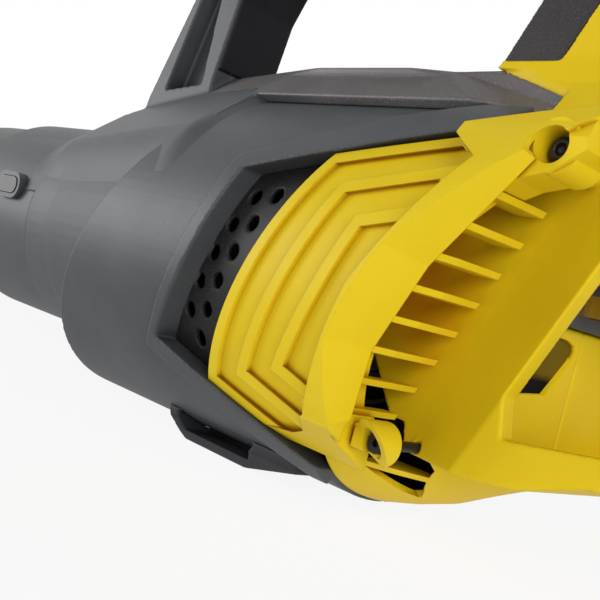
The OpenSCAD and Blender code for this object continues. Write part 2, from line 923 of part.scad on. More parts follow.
// half width of the rear shell at a distance u behind its rim line; it sweeps in towards the fins
scoop_len = 46;
scoop_steps = 8;
function scoop_half(u) = u < -scoop_len ? neck_half
    : neck_half + (rim_half - neck_half) * (1 - cos(90 * (u + scoop_len) / scoop_len));
function scoop_side() = [for (i = [0:scoop_steps]) let(u = -scoop_len + i * scoop_len / scoop_steps) [u,
    scoop_half(u)]];

// an outline seen along the raked rim, its zero on the rim line
module raked_prism(outline) {
    translate([rim_low[0], 0, rim_low[1]])
        rotate([0, rake, 0])
            translate([0, 0, -150])
                linear_extrude(500) polygon(outline);
}

// neck, scoop, rim and tray
module scoop_body() {
    half = concat([[-big, neck_half]], scoop_side(), [[120, rim_half]]);
    raked_prism(concat(half, [for (i = [len(half) - 1:-1:0]) [half[i][0], -half[i][1]]]));
}

module_low = [100, -24, 64];
module_high = [138, 24, 132];
switch_low = [-52, -10.5, core_low_z + 14];
switch_high = [8, 10.5, core_top_z - 4];
post_screw_z = core_low_z - 40.5;
shell_screw_at = [[post_x(122, post_screw_z), post_screw_z], [60, core_top_z - 12], [214, 146], [140, 39]];

module rear_cavities() {
    // battery bay, with its mouth flared towards the rim
    block([bay_front_x, -bay_half, bay_floor_z], [big, bay_half, bay_roof_z]);
    intersection() {
        block([bay_front_x, -mouth_half, bay_floor_z], [big, mouth_half, bay_roof_z]);
        raked_prism([[-20, -bay_half], [0, -mouth_half], [200, -mouth_half], [200, mouth_half],
            [0, mouth_half], [-20, bay_half]]);
    }
    // room for the control module
    block(module_low - [2, 2, 2], module_high + [2, 2, 2]);
    // wire way from the control module to the fan
    block([neck_in_x - cut, -12, 100], [module_low[0], 12, 112]);
    // wire way from the control module to the terminal block
    block([module_high[0], -10, 84], [bay_front_x + cut, 10, 92]);
    // wire way up the rear post
    translate([post_x(way_x, way_low_z), 0, way_low_z]) rotate([0, rake, 0])
        block([-3.7, -4, -6], [3.7, 4, (grip_way_z + 4 - way_low_z) / cos(rake)]);
    // wire way along the grip
    block([switch_high[0] - cut, -4.5, grip_way_z - 4], [post_x(way_x, grip_way_z) + 4, 4.5,
        grip_way_z + 4]);
    // room for the switch and the trigger
    block(switch_low - [1, 1, 1], switch_high + [1, 1, 1]);
    block(trigger_slot_low, trigger_slot_high);
    pin(trigger_pin_at, -grip_w / 2 + 4 - bed_gap, grip_w / 2 - 4 + bed_gap, trigger_pin_r + snug);
    // way for the lever spindle
    pin(lever_at, -big, 0, 3 + fit_gap);
    // slots and dark pockets in the front wall of the bay
    for (s = [-1, 1]) {
        block([bay_front_x - 5, s * 9 - 7, 78], [bay_front_x + cut, s * 9 + 7, 83]);
        block([bay_front_x - 5, s * 24 - 6, 62], [bay_front_x + cut, s * 24 + 6, 68]);
    }
    // seat of the terminal block
    block([bay_front_x - 3, -terminal_half, terminal_z - 9],
        [bay_front_x + cut, terminal_half, terminal_z + 9]);
}

terminal_half = 24;
terminal_z = 104;
trigger_slot_low = [-64, -8.5, core_low_z - cut];
trigger_slot_high = [-22, 8.5, core_low_z + 14];

module rear_shell(side) {
    on_side(side) left_half() {
        difference() {
            union() {
                intersection() {
                    side_plate(rear_outline, -rim_half, rim_half);
                    rear_bar(rear_section(), post_joint_x, rear_x);
                    scoop_body();
                }
                block([post_joint_x - tongue_len + fit_gap, -tongue_w / 2, core_low_z + 8],
                    [post_joint_x + cut, tongue_w / 2, core_top_z - 8]);
                post_pillars(0);
            }
            if (side < 0) rear_cavities(); else mirror([0, 1, 0]) rear_cavities();
            housing_room();
            intersection() {
                belly_solid(-fit_gap);
                translate([0, 0, fit_gap]) belly_side();
            }
            rear_pad_body(snug);
            for (at = [up_boss, low_boss]) pin(at, -big, -22, screw_r + snug);
            for (at = shell_screw_at) {
                pin(at, side > 0 ? -big : -10, cut, screw_r + snug);
                if (side > 0) pin(at, -big, -9.9, 2 * screw_r + fit_gap);
            }
        }
    }
}

// what the grey housing and the spine take out of the yellow shell
module housing_room() {
    difference() {
        rod(0, drum_end_top_x + 60, drum_r + fit_gap);
        rod(-cut, drum_end_top_x + 61, drum_in_r - 4);
        behind_end(fit_gap);
    }
    difference() {
        block([-60, -big, 100], [spine_tip_x + fit_gap, big, spine_z + 0.1]);
        rod(-61, big, drum_r);
        spine_notch(fit_gap);
    }
}

// ---------- soft parts of the handle ----------

pad_len = 26;
pad_t = 2.5;
pad_low_z = spine_z + 0.6;

// grained pad round the front of the rear post, or its seat when grown by d
module rear_pad_body(d) {
    difference() {
        side_plate([[post_x(post_front_x, pad_low_z) - cut, pad_low_z],
            [post_x(post_front_x + pad_len, pad_low_z) + d, pad_low_z],
            [post_x(post_front_x + pad_len, pad_top_z) + d, pad_top_z],
            [post_x(post_front_x, pad_top_z) - cut, pad_top_z]], -post_w / 2 - 0.4, post_w / 2 + 0.4);
        side_plate([[post_x(post_front_x, 0) + pad_t + d, 0], [post_x(post_front_x + big, 0), 0],
            [post_x(post_front_x + big, big), big], [post_x(post_front_x, big) + pad_t + d, big]],
            -post_w / 2 + pad_t + d, post_w / 2 - pad_t - d);
        side_plate([[-big, 0], [post_x(post_front_x, 0), 0], [post_x(post_front_x, big), big], [-big, big]],
            -big, big);
    }
}

module rear_post_pad_shape() {
    rear_pad_body(0);
}

sleeve_front_x = post_joint_x + 0.2;
sleeve_back_x = 66;

function grip_section(d, low) = let(h = grip_w / 2 + d) let(c = 7 + d / 2) [
    [-h + low, core_low_z - d], [h - low, core_low_z - d], [h, core_low_z - d + low],
        [h, core_top_z + d - c],
    [h - c, core_top_z + d], [-h + c, core_top_z + d], [-h, core_top_z + d - c],
        [-h, core_low_z - d + low]];

module grip_rubber_shape() {
    difference() {
        rear_bar(grip_section(rubber_t, 2), sleeve_front_x, sleeve_back_x);
        rear_bar(grip_section(snug, 0.01), sleeve_front_x - cut, sleeve_back_x + cut);
        block([trigger_slot_low[0], trigger_slot_low[1], core_low_z - 10],
            [trigger_slot_high[0], trigger_slot_high[1], core_low_z + cut]);
        pin(lever_at, -big, 0, lever_r + 0.5);
    }
}

// rubber on the rear face of the front post
module post_rubber_shape() {
    difference() {
        side_plate([[post_back_low_x - 5, spine_z + 0.5], [post_back_low_x + 0.8, spine_z + 0.5],
            [post_back_top_x, post_back_top_z],
            [post_back_top_x + 8, core_low_z - 8], [post_joint_x - 0.2, core_low_z - 3],
                [post_joint_x - 0.2, core_low_z + 2],
            [post_back_low_x - 5, core_low_z + 2]], -post_w / 2 + 0.5, post_w / 2 - 0.5);
        side_plate(inset(front_post_outline, -snug), -big, big);
    }
}

// ---------- trigger and speed lock ----------

trigger_pin_at = [-58, core_low_z + 8];
lever_at = [-40, core_top_z - 16];

module trigger_shape() {
    difference() {
        union() {
            side_plate([[-63, core_low_z + 3], [-57, core_low_z - 4], [-52, core_low_z - 14],
                [-40, core_low_z - 15],
                [-30, core_low_z - 9], [-24, core_low_z + 1], [-24, core_low_z + 6],
                    [-40, core_low_z + 10], [-58, core_low_z + 12.5], [-62.5, core_low_z + 10]],
                -trigger_w / 2, trigger_w / 2);
        }
        pin(trigger_pin_at, -20, 20, trigger_pin_r + snug);
    }
}

module trigger_pin_shape() {
    pin(trigger_pin_at, -grip_w / 2 + 4, grip_w / 2 - 4, trigger_pin_r);
}

module speed_lever_shape() {
    difference() {
        union() {
            pin(lever_at, -grip_w / 2 - 5, -grip_w / 2 - 0.5, lever_r);
            pin(lever_at, -grip_w / 2 - 1, -11, 3);
            side_plate([[lever_at[0] - 3, lever_at[1]], [lever_at[0] + 3, lever_at[1]],
                [lever_at[0] + 2.4, lever_at[1] + 15], [lever_at[0] - 2.4, lever_at[1] + 15]],
                -grip_w / 2 - 7.5, -grip_w / 2 - 3.2);
        }
    }
}

// ---------- air path ----------

fan_x0 = 2;
fan_r = duct_r - fan_gap;
pod_front_x = -104;
pod_back_x = -4;
pod_wall = 2;
vane_len = 40;
vane_back_x = -12;
duct_front_x = cone_front_x + 20;
bell_x = fan_x0 + fan_len - 4;
bell_end_x = bell_x + 24;
duct_out_r = duct_r + duct_wall;

// duct with its bell mouth, the vanes behind the fan and the pod that carries the motor
guard_r = panel_r - panel_t - 0.6;
module fan_duct_shape() {
    turned([
        [duct_front_x, duct_r], [bell_x, duct_r], [bell_x + 10, duct_r + 3], [bell_x + 18, duct_r + 8],
            [bell_end_x, guard_r - 1],
        [bell_end_x, guard_r], [bell_end_x - 3, guard_r], [bell_x + 15, duct_out_r + 9],
            [bell_x + 6, duct_out_r + 3],
        [bell_x, duct_out_r], [duct_front_x, duct_out_r]]);
    // flange that closes the housing round the bell mouth, cut away behind the vent panels
    difference() {
        rod(bell_end_x - 3, bell_end_x, drum_in_r - 0.1);
        rod(bell_end_x - 4, bell_end_x + cut, guard_r - 0.5);
        block([0, -big, axis_z - 68], [big, big, axis_z + 52]);
    }
    difference() {
        union() {
            rod(pod_front_x, pod_back_x, hub_r);
            for (i = [0:vanes - 1])
                translate([0, 0, axis_z]) rotate([i * 360 / vanes, 0, 0])
                    translate([vane_back_x - vane_len / 2, 0, 0]) rotate([0, 0, 12])
                        block([-vane_len / 2, -1.2, hub_r - 1], [vane_len / 2, 1.2, duct_r + 1]);
        }
        rod(pod_front_x - cut, pod_back_x + cut, hub_r - pod_wall);
    }
}

module tail_cone_shape() {
    turned([[pod_front_x - 46, 0], [pod_front_x - 46, 3], [pod_front_x - 38, 9], [pod_front_x - 20, 19],
        [pod_front_x - 0.1, hub_r],
        [pod_front_x - 0.1, hub_r - pod_wall - 0.2], [pod_front_x + 6, hub_r - pod_wall - 0.2],
            [pod_front_x + 6, hub_r - 2 * pod_wall - 0.2],
        [pod_front_x - 18, 15], [pod_front_x - 34, 6], [pod_front_x - 40, 0]]);
}

// fan wheel: hub shell with pitched blades
module fan_shape() {
    difference() {
        union() {
            intersection() {
                for (i = [0:fan_blades - 1])
                    translate([fan_x0 + fan_len / 2, 0, axis_z]) rotate([i * 360 / fan_blades, 0, 0])
                        rotate([0, 0, 90 - blade_pitch])
                            block([-fan_len / 2 / sin(blade_pitch), -1.1, hub_r - 1.5],
                                [fan_len / 2 / sin(blade_pitch), 1.1, fan_r + 5]);
                difference() {
                    rod(fan_x0, fan_x0 + fan_len, fan_r);
                    rod(fan_x0 - cut, fan_x0 + fan_len + cut, hub_r - 1);
                }
            }
            turned([[fan_x0, shaft_r], [fan_x0, shaft_r + 4], [fan_x0 + fan_len - 5, shaft_r + 4],
                [fan_x0 + fan_len - 5, hub_r - 2.5],
                [fan_x0, hub_r - 2.5], [fan_x0, hub_r], [fan_x0 + fan_len - 4, hub_r],
                    [fan_x0 + fan_len - 1, hub_r - 2], [fan_x0 + fan_len, hub_r - 6],
                [fan_x0 + fan_len, shaft_r]]);
        }
        rod(fan_x0 - cut, fan_x0 + fan_len + cut, shaft_r + snug);
    }
}

nut_x = fan_x0 + fan_len + 0.1;
nut_len = 6;

module fan_nut_shape() {
    difference() {
        translate([nut_x, 0, axis_z]) rotate([0, 90, 0]) cylinder(h = nut_len, r = 7.5, $fn = 6);
        rod(nut_x - cut, nut_x + nut_len + cut, shaft_r + snug);
    }
}

// finger guard across the bell mouth
guard_x = bell_end_x + 0.3;
module inlet_guard_shape() {
    for (r = [22:13:64]) difference() {
        rod(guard_x, guard_x + 3, r + 1);
        rod(guard_x - cut, guard_x + 3 + cut, r - 1);
    }
    for (i = [0:5])
        translate([guard_x, 0, axis_z]) rotate([i * 60 + 30, 0, 0]) block([0.5, -1.2, 21.5],
            [2.5, 1.2, guard_r - 2]);
    difference() {
        rod(guard_x, guard_x + 3, guard_r);
        rod(guard_x - cut, guard_x + 3 + cut, guard_r - 3);
    }
}

// ---------- motor ----------

motor_x0 = -88;
core_x0 = motor_x0 + 22;
core_x1 = core_x0 + stator_len;
bearing_r = 11;
bearing_len = 7;
rotor_r = 12.5;
front_bearing_x = motor_x0 + 4;
rear_bearing_x = pod_back_x - 10;

module motor_can_shape() {
    difference() {
        rod(core_x0 - 12, core_x1 + 8, hub_r - pod_wall - snug);
        rod(core_x0 - 12 - cut, core_x1 + 8 + cut, stator_r + snug);
    }
}

module stator_core_shape() {
    difference() {
        rod(core_x0, core_x1, stator_r);
        rod(core_x0 - cut, core_x1 + cut, rotor_r + air_gap);
        for (i = [0:5])
            translate([core_x0, 0, axis_z]) rotate([i * 60, 0, 0]) {
                block([-cut, -4.2, rotor_r + air_gap + 2], [stator_len + cut, 4.2, stator_r - 2.5]);
                block([-cut, -1, 0], [stator_len + cut, 1, stator_r - 3]);
            }
    }
}

// copper windings: a bundle in each slot and a ring of coil heads at each end
module windings_shape() {
    for (i = [0:5])
        translate([core_x0, 0, axis_z]) rotate([i * 60, 0, 0])
            block([-1, -3.9, rotor_r + air_gap + 2.3], [stator_len + 1, 3.9, stator_r - 2.8]);
    for (x = [core_x0 - 8, core_x1 + 0.5]) difference() {
        rod(x, x + 7.5, stator_r - 1.5);
        rod(x - cut, x + 8.5, rotor_r + 1.6);
    }
}

module rotor_shape() {
    rod(core_x0 - 1, core_x1 + 1, rotor_r);
    rod(front_bearing_x - 1, nut_x + nut_len + 2, shaft_r);
    rod(core_x0 - 4, core_x0 - 1, shaft_r + 2);
}

module bearing(x) {
    for (ring = [[shaft_r + snug, shaft_r + 2.2], [bearing_r - 2.2, bearing_r]]) difference() {
        rod(x, x + bearing_len, ring[1]);
        rod(x - cut, x + bearing_len + cut, ring[0]);
    }
    difference() {
        rod(x + 1, x + bearing_len - 1, bearing_r - 2.1);
        rod(x, x + bearing_len, shaft_r + 2.1);
    }
}

// end plate of the motor, with the seat of a bearing
module motor_plate(x) {
    difference() {
        union() {
            rod(x - 1, x + bearing_len - 3, hub_r - pod_wall - 0.2);
            rod(x - 1, x + bearing_len + 0.5, bearing_r + 3);
        }
        rod(x - 0.05, x + bearing_len + cut, bearing_r + snug);
        rod(x - 2, x + bearing_len + cut, shaft_r + 2);
        for (i = [0:3])
            translate([x - 2, 0, axis_z]) rotate([i * 90 + 45, 0, 0]) translate([0, 0, 18]) rotate([0,
                90, 0]) cylinder(h = 10, r = 2.6);
    }
}

// ---------- blower tube ----------

collar_back_x = cone_front_x - 2;
collar_front_x = collar_back_x - collar_len;
tube_back_x = duct_front_x - 1;
tube_end_x = collar_front_x - tube_len;
nozzle_x = tube_end_x - nozzle_len;
nozzle_lap = 28;

module blower_tube_shape() {
    turned([
        [tube_end_x, tube_front_r - tube_wall], [collar_front_x - 60, tube_r - tube_wall],
            [tube_back_x, tube_r - tube_wall],
        [tube_back_x, tube_r], [collar_front_x - 60, tube_r], [tube_end_x, tube_front_r]]);
}

module lock_collar_shape() {
    difference() {
        union() {
            turned([
                [collar_front_x, tube_r + snug], [cone_front_x + 16, tube_r + snug],
                    [cone_front_x + 16, cone_front_r - cone_wall - 0.2],
                [cone_front_x - 0.5, cone_front_r - cone_wall - 0.2],
                    [cone_front_x - 0.5, collar_r - 1], [collar_back_x - 2, collar_r],
                [collar_front_x + 6, collar_r], [collar_front_x, collar_r - 3]]);
            lock_oval(-lock_face_y, -lock_floor_y + 3, 3);
        }
        lock_pocket();
        rod(collar_front_x - cut, cone_front_x + 17, tube_r + snug);
    }
}

lock_at = over(-210, 12);
lock_half = 7;
lock_r = 5;
lock_travel = 2;
lock_floor_y = 59.5;
lock_face_y = 66;

// oval of the lock button, seen from the side, grown by d
module lock_oval(y0, y1, d) {
    for (s = [-1, 1]) pin([lock_at[0] + s * lock_half, lock_at[1]], y0, y1, lock_r + d);
    side_plate([[lock_at[0] - lock_half, lock_at[1] - lock_r - d],
        [lock_at[0] + lock_half, lock_at[1] - lock_r - d],
        [lock_at[0] + lock_half, lock_at[1] + lock_r + d],
            [lock_at[0] - lock_half, lock_at[1] + lock_r + d]], y0, y1);
}

module lock_pocket() {
    lock_oval(-big, -lock_floor_y, 0.4);
}

module lock_button_shape() {
    lock_oval(-lock_face_y - 0.6, -lock_face_y + 3, 0);
}

module lock_spring_shape() {
    wire_r = 0.4;
    turns = 3;
    low = -lock_face_y + 3 + 0.02;
    high = -lock_floor_y - 0.02;
    pitch = (high - low - 2 * wire_r) / (turns - 1);
    for (s = [-1, 1]) for (i = [0:turns - 1])
        translate([lock_at[0] + s * lock_half, low + wire_r + i * pitch, lock_at[1]])
            rotate([90, 0, 0]) rotate_extrude() translate([2.6, 0]) circle(wire_r, $fn = 16);
}

module end_nozzle_shape() {
    turned([
        [nozzle_x, mouth_r], [nozzle_x + 22, mouth_r], [tube_end_x - 4, tube_front_r - tube_wall],
            [tube_end_x - 4, tube_front_r + 0.4],
        [tube_end_x - 0.2, tube_front_r + 0.4], [tube_end_x + nozzle_lap,
            tube_front_r + 0.4 + nozzle_lap * tube_taper],
        [tube_end_x + nozzle_lap, tube_front_r + 3.6], [tube_end_x - 6, tube_front_r + 3.2],
            [nozzle_x + 20, mouth_r + 3], [nozzle_x + 8, mouth_r + 2.6],
        [nozzle_x + 6, mouth_r + 4], [nozzle_x, mouth_r + 4]]);
}
tube_taper = (tube_r - tube_front_r) / (collar_front_x - 60 - tube_end_x);

// ---------- electronics ----------

module control_module_shape() {
    block(module_low, [module_high[0] - 8, module_high[1], module_high[2]]);
    for (i = [0:7])
        block([module_high[0] - 8, module_low[1] + 2 + i * 6, module_low[2] + 4],
            [module_high[0], module_low[1] + 4 + i * 6, module_high[2] - 4]);
}

module terminal_block_shape() {
    difference() {
        block([bay_front_x - 2.8, -terminal_half + 0.3, terminal_z - 8.7],
            [bay_front_x + 5, terminal_half - 0.3, terminal_z + 8.7]);
        for (y = blade_ys) block([bay_front_x - 4, y - 0.5, terminal_z - 4],
            [bay_front_x + 6, y + 0.5, terminal_z + 4]);
    }
}

blade_ys = [-18, -7, 7, 18];
module terminal_blades_shape() {
    for (y = blade_ys) block([bay_front_x - 2.7, y - 0.4, terminal_z - 3.9],
        [bay_front_x + 17, y + 0.4, terminal_z + 3.9]);
}

rail_x = bay_front_x + 6;

// a pair of rails hung from the ceiling of the bay
module bay_rails_shape() {
    for (s = [-1, 1]) on_side(s) {
        block([rail_x, -rail_y - 4, bay_roof_z - 12], [rear_x - 12, -rail_y, bay_roof_z - 0.1]);
        block([rail_x, -rail_y, bay_roof_z - 12], [rear_x - 12, -rail_y + 5, bay_roof_z - 9]);
    }
}

module switch_unit_shape() {
    block(switch_low, switch_high);
}

module trigger_spring_shape() {
    coil_r = 3;
    wire_r = 0.5;
    turns = 4;
    low = core_low_z + 8.9;
    high = switch_low[2] - 0.6;
    for (i = [0:turns - 1])
        translate([-32, 0, low + wire_r + i * (high - low - 2 * wire_r) / (turns - 1)])
            rotate_extrude() translate([coil_r, 0]) circle(wire_r, $fn = 16);
}

// a wire through a list of points
module wire(points, r) {
    for (i = [0:len(points) - 2]) {
        run = points[i + 1] - points[i];
        translate(points[i])
            rotate([0, acos(run[2] / norm(run)), atan2(run[1], run[0])])
                cylinder(h = norm(run), r = r, $fn = 24);
        if (i < len(points) - 2) translate(points[i + 1]) sphere(r * 1.04, $fn = 24);
    }
}

module motor_leads_shape() {
    for (y = [-6, 0, 6])
        wire([[module_low[0] - 0.5, y, 106], [guard_x + 4, y, 106], [guard_x + 4, y * 1.5, 92]], 1.6);
}

module battery_leads_shape() {
    for (y = [-5, 5]) wire([[module_high[0] + 0.3, y, 88], [bay_front_x - 3.2, y, 90]], 2);
}

module switch_leads_shape() {
    for (s = [-1, 1])
        wire([[post_x(way_x, 136) + s * 2, s * 2, 136], [post_x(way_x, grip_way_z) + s * 2, s * 2,
            grip_way_z],
            [switch_high[0] + 0.5, s * 2, grip_way_z]], 1.2);
}

// ---------- screws ----------

module cover_screws_shape() {
    for (s = [-1, 1]) on_side(s) {
        screw(up_boss, -boss_end_y - boss_floor - screw_head_h - snug / 2, -cover_screw_end_y, screw_r);
        screw(low_boss, -low_boss_end_y - low_boss_floor - screw_head_h - snug / 2, -cover_screw_end_y,
            screw_r);
    }
}

module housing_screw_set() {
    for (at = housing_screw_at) screw(at, housing_boss_y - 1, -housing_boss_y + 3, screw_r);
}

module shell_screw_set() {
    for (at = shell_screw_at) screw(at, 13, -9, screw_r);
    for (at = post_screw_at) screw(at, 15.1, -8, screw_r);
}

// ---------- the pieces ----------

module housing_left() {
    color("dimgray") housing_half(-1);
}

module housing_right() {
    color("dimgray") housing_half(1);
}

module foot() {
    color("dimgray") foot_shape();
}

module spine() {
    color("gray") spine_shape();
}

module vent_panel_left() {
    color("darkslategray") vent_panel(-1);
}

module vent_panel_right() {
    color("darkslategray") vent_panel(1);
}

module cover_left() {
    color("gold") cover(-1);
}

module cover_right() {
    color("gold") cover(1);
}

module rear_shell_left() {
    color("gold") rear_shell(-1);
}

module rear_shell_right() {
    color("gold") rear_shell(1);
}

module rear_post_pad() {
    color("gray") rear_post_pad_shape();
}

module front_post_left() {
    color("dimgray") front_post(-1);
}

module front_post_right() {
    color("dimgray") front_post(1);
}

module post_rubber() {
    color("black") post_rubber_shape();
}

module grip_rubber() {
    color("black") grip_rubber_shape();
}

module trigger() {
    color("black") trigger_shape();
}

module trigger_pin() {
    color("silver") trigger_pin_shape();
}

module trigger_spring() {
    color("silver") trigger_spring_shape();
}

module switch_unit() {
    color("dimgray") switch_unit_shape();
}

module speed_lever() {
    color("black") speed_lever_shape();
}

module fan_duct() {
    color("dimgray") fan_duct_shape();
}

module tail_cone() {
    color("dimgray") tail_cone_shape();
}

module fan() {
    color("gray") fan_shape();
}

module fan_nut() {
    color("silver") fan_nut_shape();
}

module inlet_guard() {
    color("black") inlet_guard_shape();
}

module motor_can() {
    color("silver") motor_can_shape();
}

module stator_core() {
    color("silver") stator_core_shape();
}

module windings() {
    color("orange") windings_shape();
}

module rotor() {
    color("silver") rotor_shape();
}

module front_bearing() {
    color("silver") bearing(front_bearing_x);
}

module rear_bearing() {
    color("silver") bearing(rear_bearing_x);
}

module front_motor_plate() {
    color("silver") motor_plate(front_bearing_x);
}

module rear_motor_plate() {
    color("silver") motor_plate(rear_bearing_x);
}

module blower_tube() {
    color("dimgray") blower_tube_shape();
}

module lock_collar() {
    color("dimgray") lock_collar_shape();
}

module lock_button() {
    color("gray") lock_button_shape();
}

module lock_spring() {
    color("silver") lock_spring_shape();
}

module end_nozzle() {
    color("dimgray") end_nozzle_shape();
}

module control_module() {
    color("black") control_module_shape();
}

module terminal_block() {
    color("black") terminal_block_shape();
}

module terminal_blades() {
    color("silver") terminal_blades_shape();
}

module bay_rails() {
    color("black") bay_rails_shape();
}

module motor_leads() {
    color("blue") motor_leads_shape();
}

module battery_leads() {
    color("red") battery_leads_shape();
}

module switch_leads() {
    color("red") switch_leads_shape();
}

module cover_screws() {
    color("black") cover_screws_shape();
}

module housing_screws() {
    color("black") housing_screw_set();
}

module shell_screws() {
    color("black") shell_screw_set();
}

housing_left();
housing_right();
foot();
spine();
vent_panel_left();
vent_panel_right();
cover_left();
cover_right();
rear_shell_left();
rear_shell_right();
rear_post_pad();
front_post_left();
front_post_right();
post_rubber();
grip_rubber();
trigger();
trigger_pin();
trigger_spring();
switch_unit();
speed_lever();
fan_duct();
tail_cone();
fan();
fan_nut();
inlet_guard();
motor_can();
stator_core();
windings();
rotor();
front_bearing();
rear_bearing();
front_motor_plate();
rear_motor_plate();
blower_tube();
lock_collar();
lock_button();
lock_spring();
end_nozzle();
control_module();
terminal_block();
terminal_blades();
bay_rails();
motor_leads();
battery_leads();
switch_leads();
cover_screws();
housing_screws();
shell_screws();
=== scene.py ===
# %% [markdown]
# # A hand-held leaf blower, dressed
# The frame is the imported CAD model: every solid sits in its real place, in metres, with the
# nozzle towards -X, the battery bay towards +X and the ground at z = 0. The ribs, slots and
# fins of the intake covers are solids already. This lesson gives each moulding the edges that
# it has in the hand, lays one soft surface over the shoulder, closes the bay wall, adds two
# screw heads, and paints each plastic, rubber and metal with its own grain.

import json
import math

import bmesh
import bpy
import numpy as np
from mathutils import Matrix, Vector


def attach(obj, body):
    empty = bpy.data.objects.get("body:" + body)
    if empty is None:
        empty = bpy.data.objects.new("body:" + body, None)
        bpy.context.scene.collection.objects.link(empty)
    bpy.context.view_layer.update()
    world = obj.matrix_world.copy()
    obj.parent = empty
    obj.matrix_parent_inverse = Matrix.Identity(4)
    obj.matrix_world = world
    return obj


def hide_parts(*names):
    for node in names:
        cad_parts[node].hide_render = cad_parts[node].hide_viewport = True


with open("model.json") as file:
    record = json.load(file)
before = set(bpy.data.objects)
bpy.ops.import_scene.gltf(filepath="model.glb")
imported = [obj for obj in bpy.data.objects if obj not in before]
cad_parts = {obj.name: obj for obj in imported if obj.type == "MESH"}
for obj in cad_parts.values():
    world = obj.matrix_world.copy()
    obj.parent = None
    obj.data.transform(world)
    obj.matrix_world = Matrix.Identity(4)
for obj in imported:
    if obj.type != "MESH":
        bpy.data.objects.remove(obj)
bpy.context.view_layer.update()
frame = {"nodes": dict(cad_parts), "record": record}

# %% [markdown]
# ## The camera
# A close view from behind and to the left, level with the fan axis and rolled a little,
# is written as a focal length, a place and three angles. The three columns of the matrix are
# the picture's right, the picture's up and the way back from the scene to the lens.

# %% Camera
FOCAL_PX = 932.5
PICTURE_PX = 600
SENSOR_MM = 36
TURN, TILT, ROLL = (math.radians(v) for v in (46.3, 0.34, 14.7))
LENS_AT = (0.330, -0.320, 0.082)


def make_camera():
    """Back is the sphere direction of turn and tilt; right and up are turned about it by the roll."""
    back = Vector((math.sin(TURN) * math.cos(TILT), -math.cos(TURN) * math.cos(TILT), math.sin(TILT)))
    level = Vector((math.cos(TURN), math.sin(TURN), 0))
    up = back.cross(level)
    right = math.cos(ROLL) * level + math.sin(ROLL) * up
    top = math.cos(ROLL) * up - math.sin(ROLL) * level
    lens = bpy.data.cameras.new("camera")
    lens.sensor_width = SENSOR_MM
    lens.lens = SENSOR_MM * FOCAL_PX / PICTURE_PX
    lens.clip_start = 0.02
    camera = bpy.data.objects.new("camera", lens)
    bpy.context.scene.collection.objects.link(camera)
    place = Matrix.Identity(4)
    for row in range(3):
        place[row][0], place[row][1], place[row][2] = right[row], top[row], back[row]
    place.translation = LENS_AT
    camera.matrix_world = place
    bpy.context.scene.camera = camera
    return camera


camera = make_camera()
print("camera lens", round(camera.data.lens, 2), "mm")

# %% [markdown]
# ## Finishes
# Moulded plastic owes its look to the tool it was made in: a spark-eroded grain scatters the
# light, edges are polished by handling, and dust settles in fine specks. These effects are
# node groups, built once, and each material sets its own depth and size for them. Most of the
# wiring is one of three moves, a ramp, a product or a mix of two tones, so these come first.


# %% Node helpers
def new_group(name, inputs, outputs):
    """An empty shader group with named sockets, and its two end nodes."""
    group = bpy.data.node_groups.new(name, "ShaderNodeTree")
    for label, kind, value in inputs:
        socket = group.interface.new_socket(label, in_out="INPUT", socket_type=kind)
        if value is not None:
            socket.default_value = value
    for label, kind in outputs:
        group.interface.new_socket(label, in_out="OUTPUT", socket_type=kind)
    return group, group.nodes.new("NodeGroupInput"), group.nodes.new("NodeGroupOutput")


def add(tree, kind, settings=None, **values):
    """A node with its settings, and its input values under their names with _ for a space."""
    node = tree.nodes.new(kind)
    for key, value in (settings or {}).items():
        setattr(node, key, value)
    for key, value in values.items():
        node.inputs[key.replace("_", " ")].default_value = value
    return node


def ramp(tree, source, low, high, to_low=0.0, to_high=1.0):
    """A straight ramp: to_low where source is low, to_high where it is high, and level beyond both."""
    line = add(tree, "ShaderNodeMapRange", From_Min=low, From_Max=high, To_Min=to_low, To_Max=to_high)
    tree.links.new(source, line.inputs["Value"])
    return line.outputs["Result"]


def product(tree, source, factor):
    """Source times factor, which is a number or another socket."""
    times = add(tree, "ShaderNodeMath", {"operation": "MULTIPLY"})
    tree.links.new(source, times.inputs[0])
    if isinstance(factor, float):
        times.inputs[1].default_value = factor
    else:
        tree.links.new(factor, times.inputs[1])
    return times.outputs[0]


def mix_tones(tree, share, below, above):
    """Below where share is 0 and above where it is 1; each is a tone (r, g, b) or a socket."""
    mixed = add(tree, "ShaderNodeMix", {"data_type": "RGBA"})
    tree.links.new(share, mixed.inputs["Factor"])
    for label, tone in (("A", below), ("B", above)):
        if isinstance(tone, tuple):
            mixed.inputs[label].default_value = (*tone, 1)
        else:
            tree.links.new(tone, mixed.inputs[label])
    return mixed.outputs["Result"]


print("node helpers: new_group, add, ramp, product, mix_tones")

# %% [markdown]
# The grain is a fine noise, so small that it reads as a satin surface, that both bumps and
# speckles the plastic. A slow noise mottles the tone over some centimetres. Dust is a few of
# the cells of a cell pattern, each shrunk to a dot at its centre.

# %% Mould grain
MOTTLES_PER_METRE = 28.0
DUST_CELLS_PER_METRE = 150.0
DUST_EDGE, DUST_CORE = 0.045, 0.025
DUST_RARITY = 0.86
GRAIN_HEIGHT = 0.00008


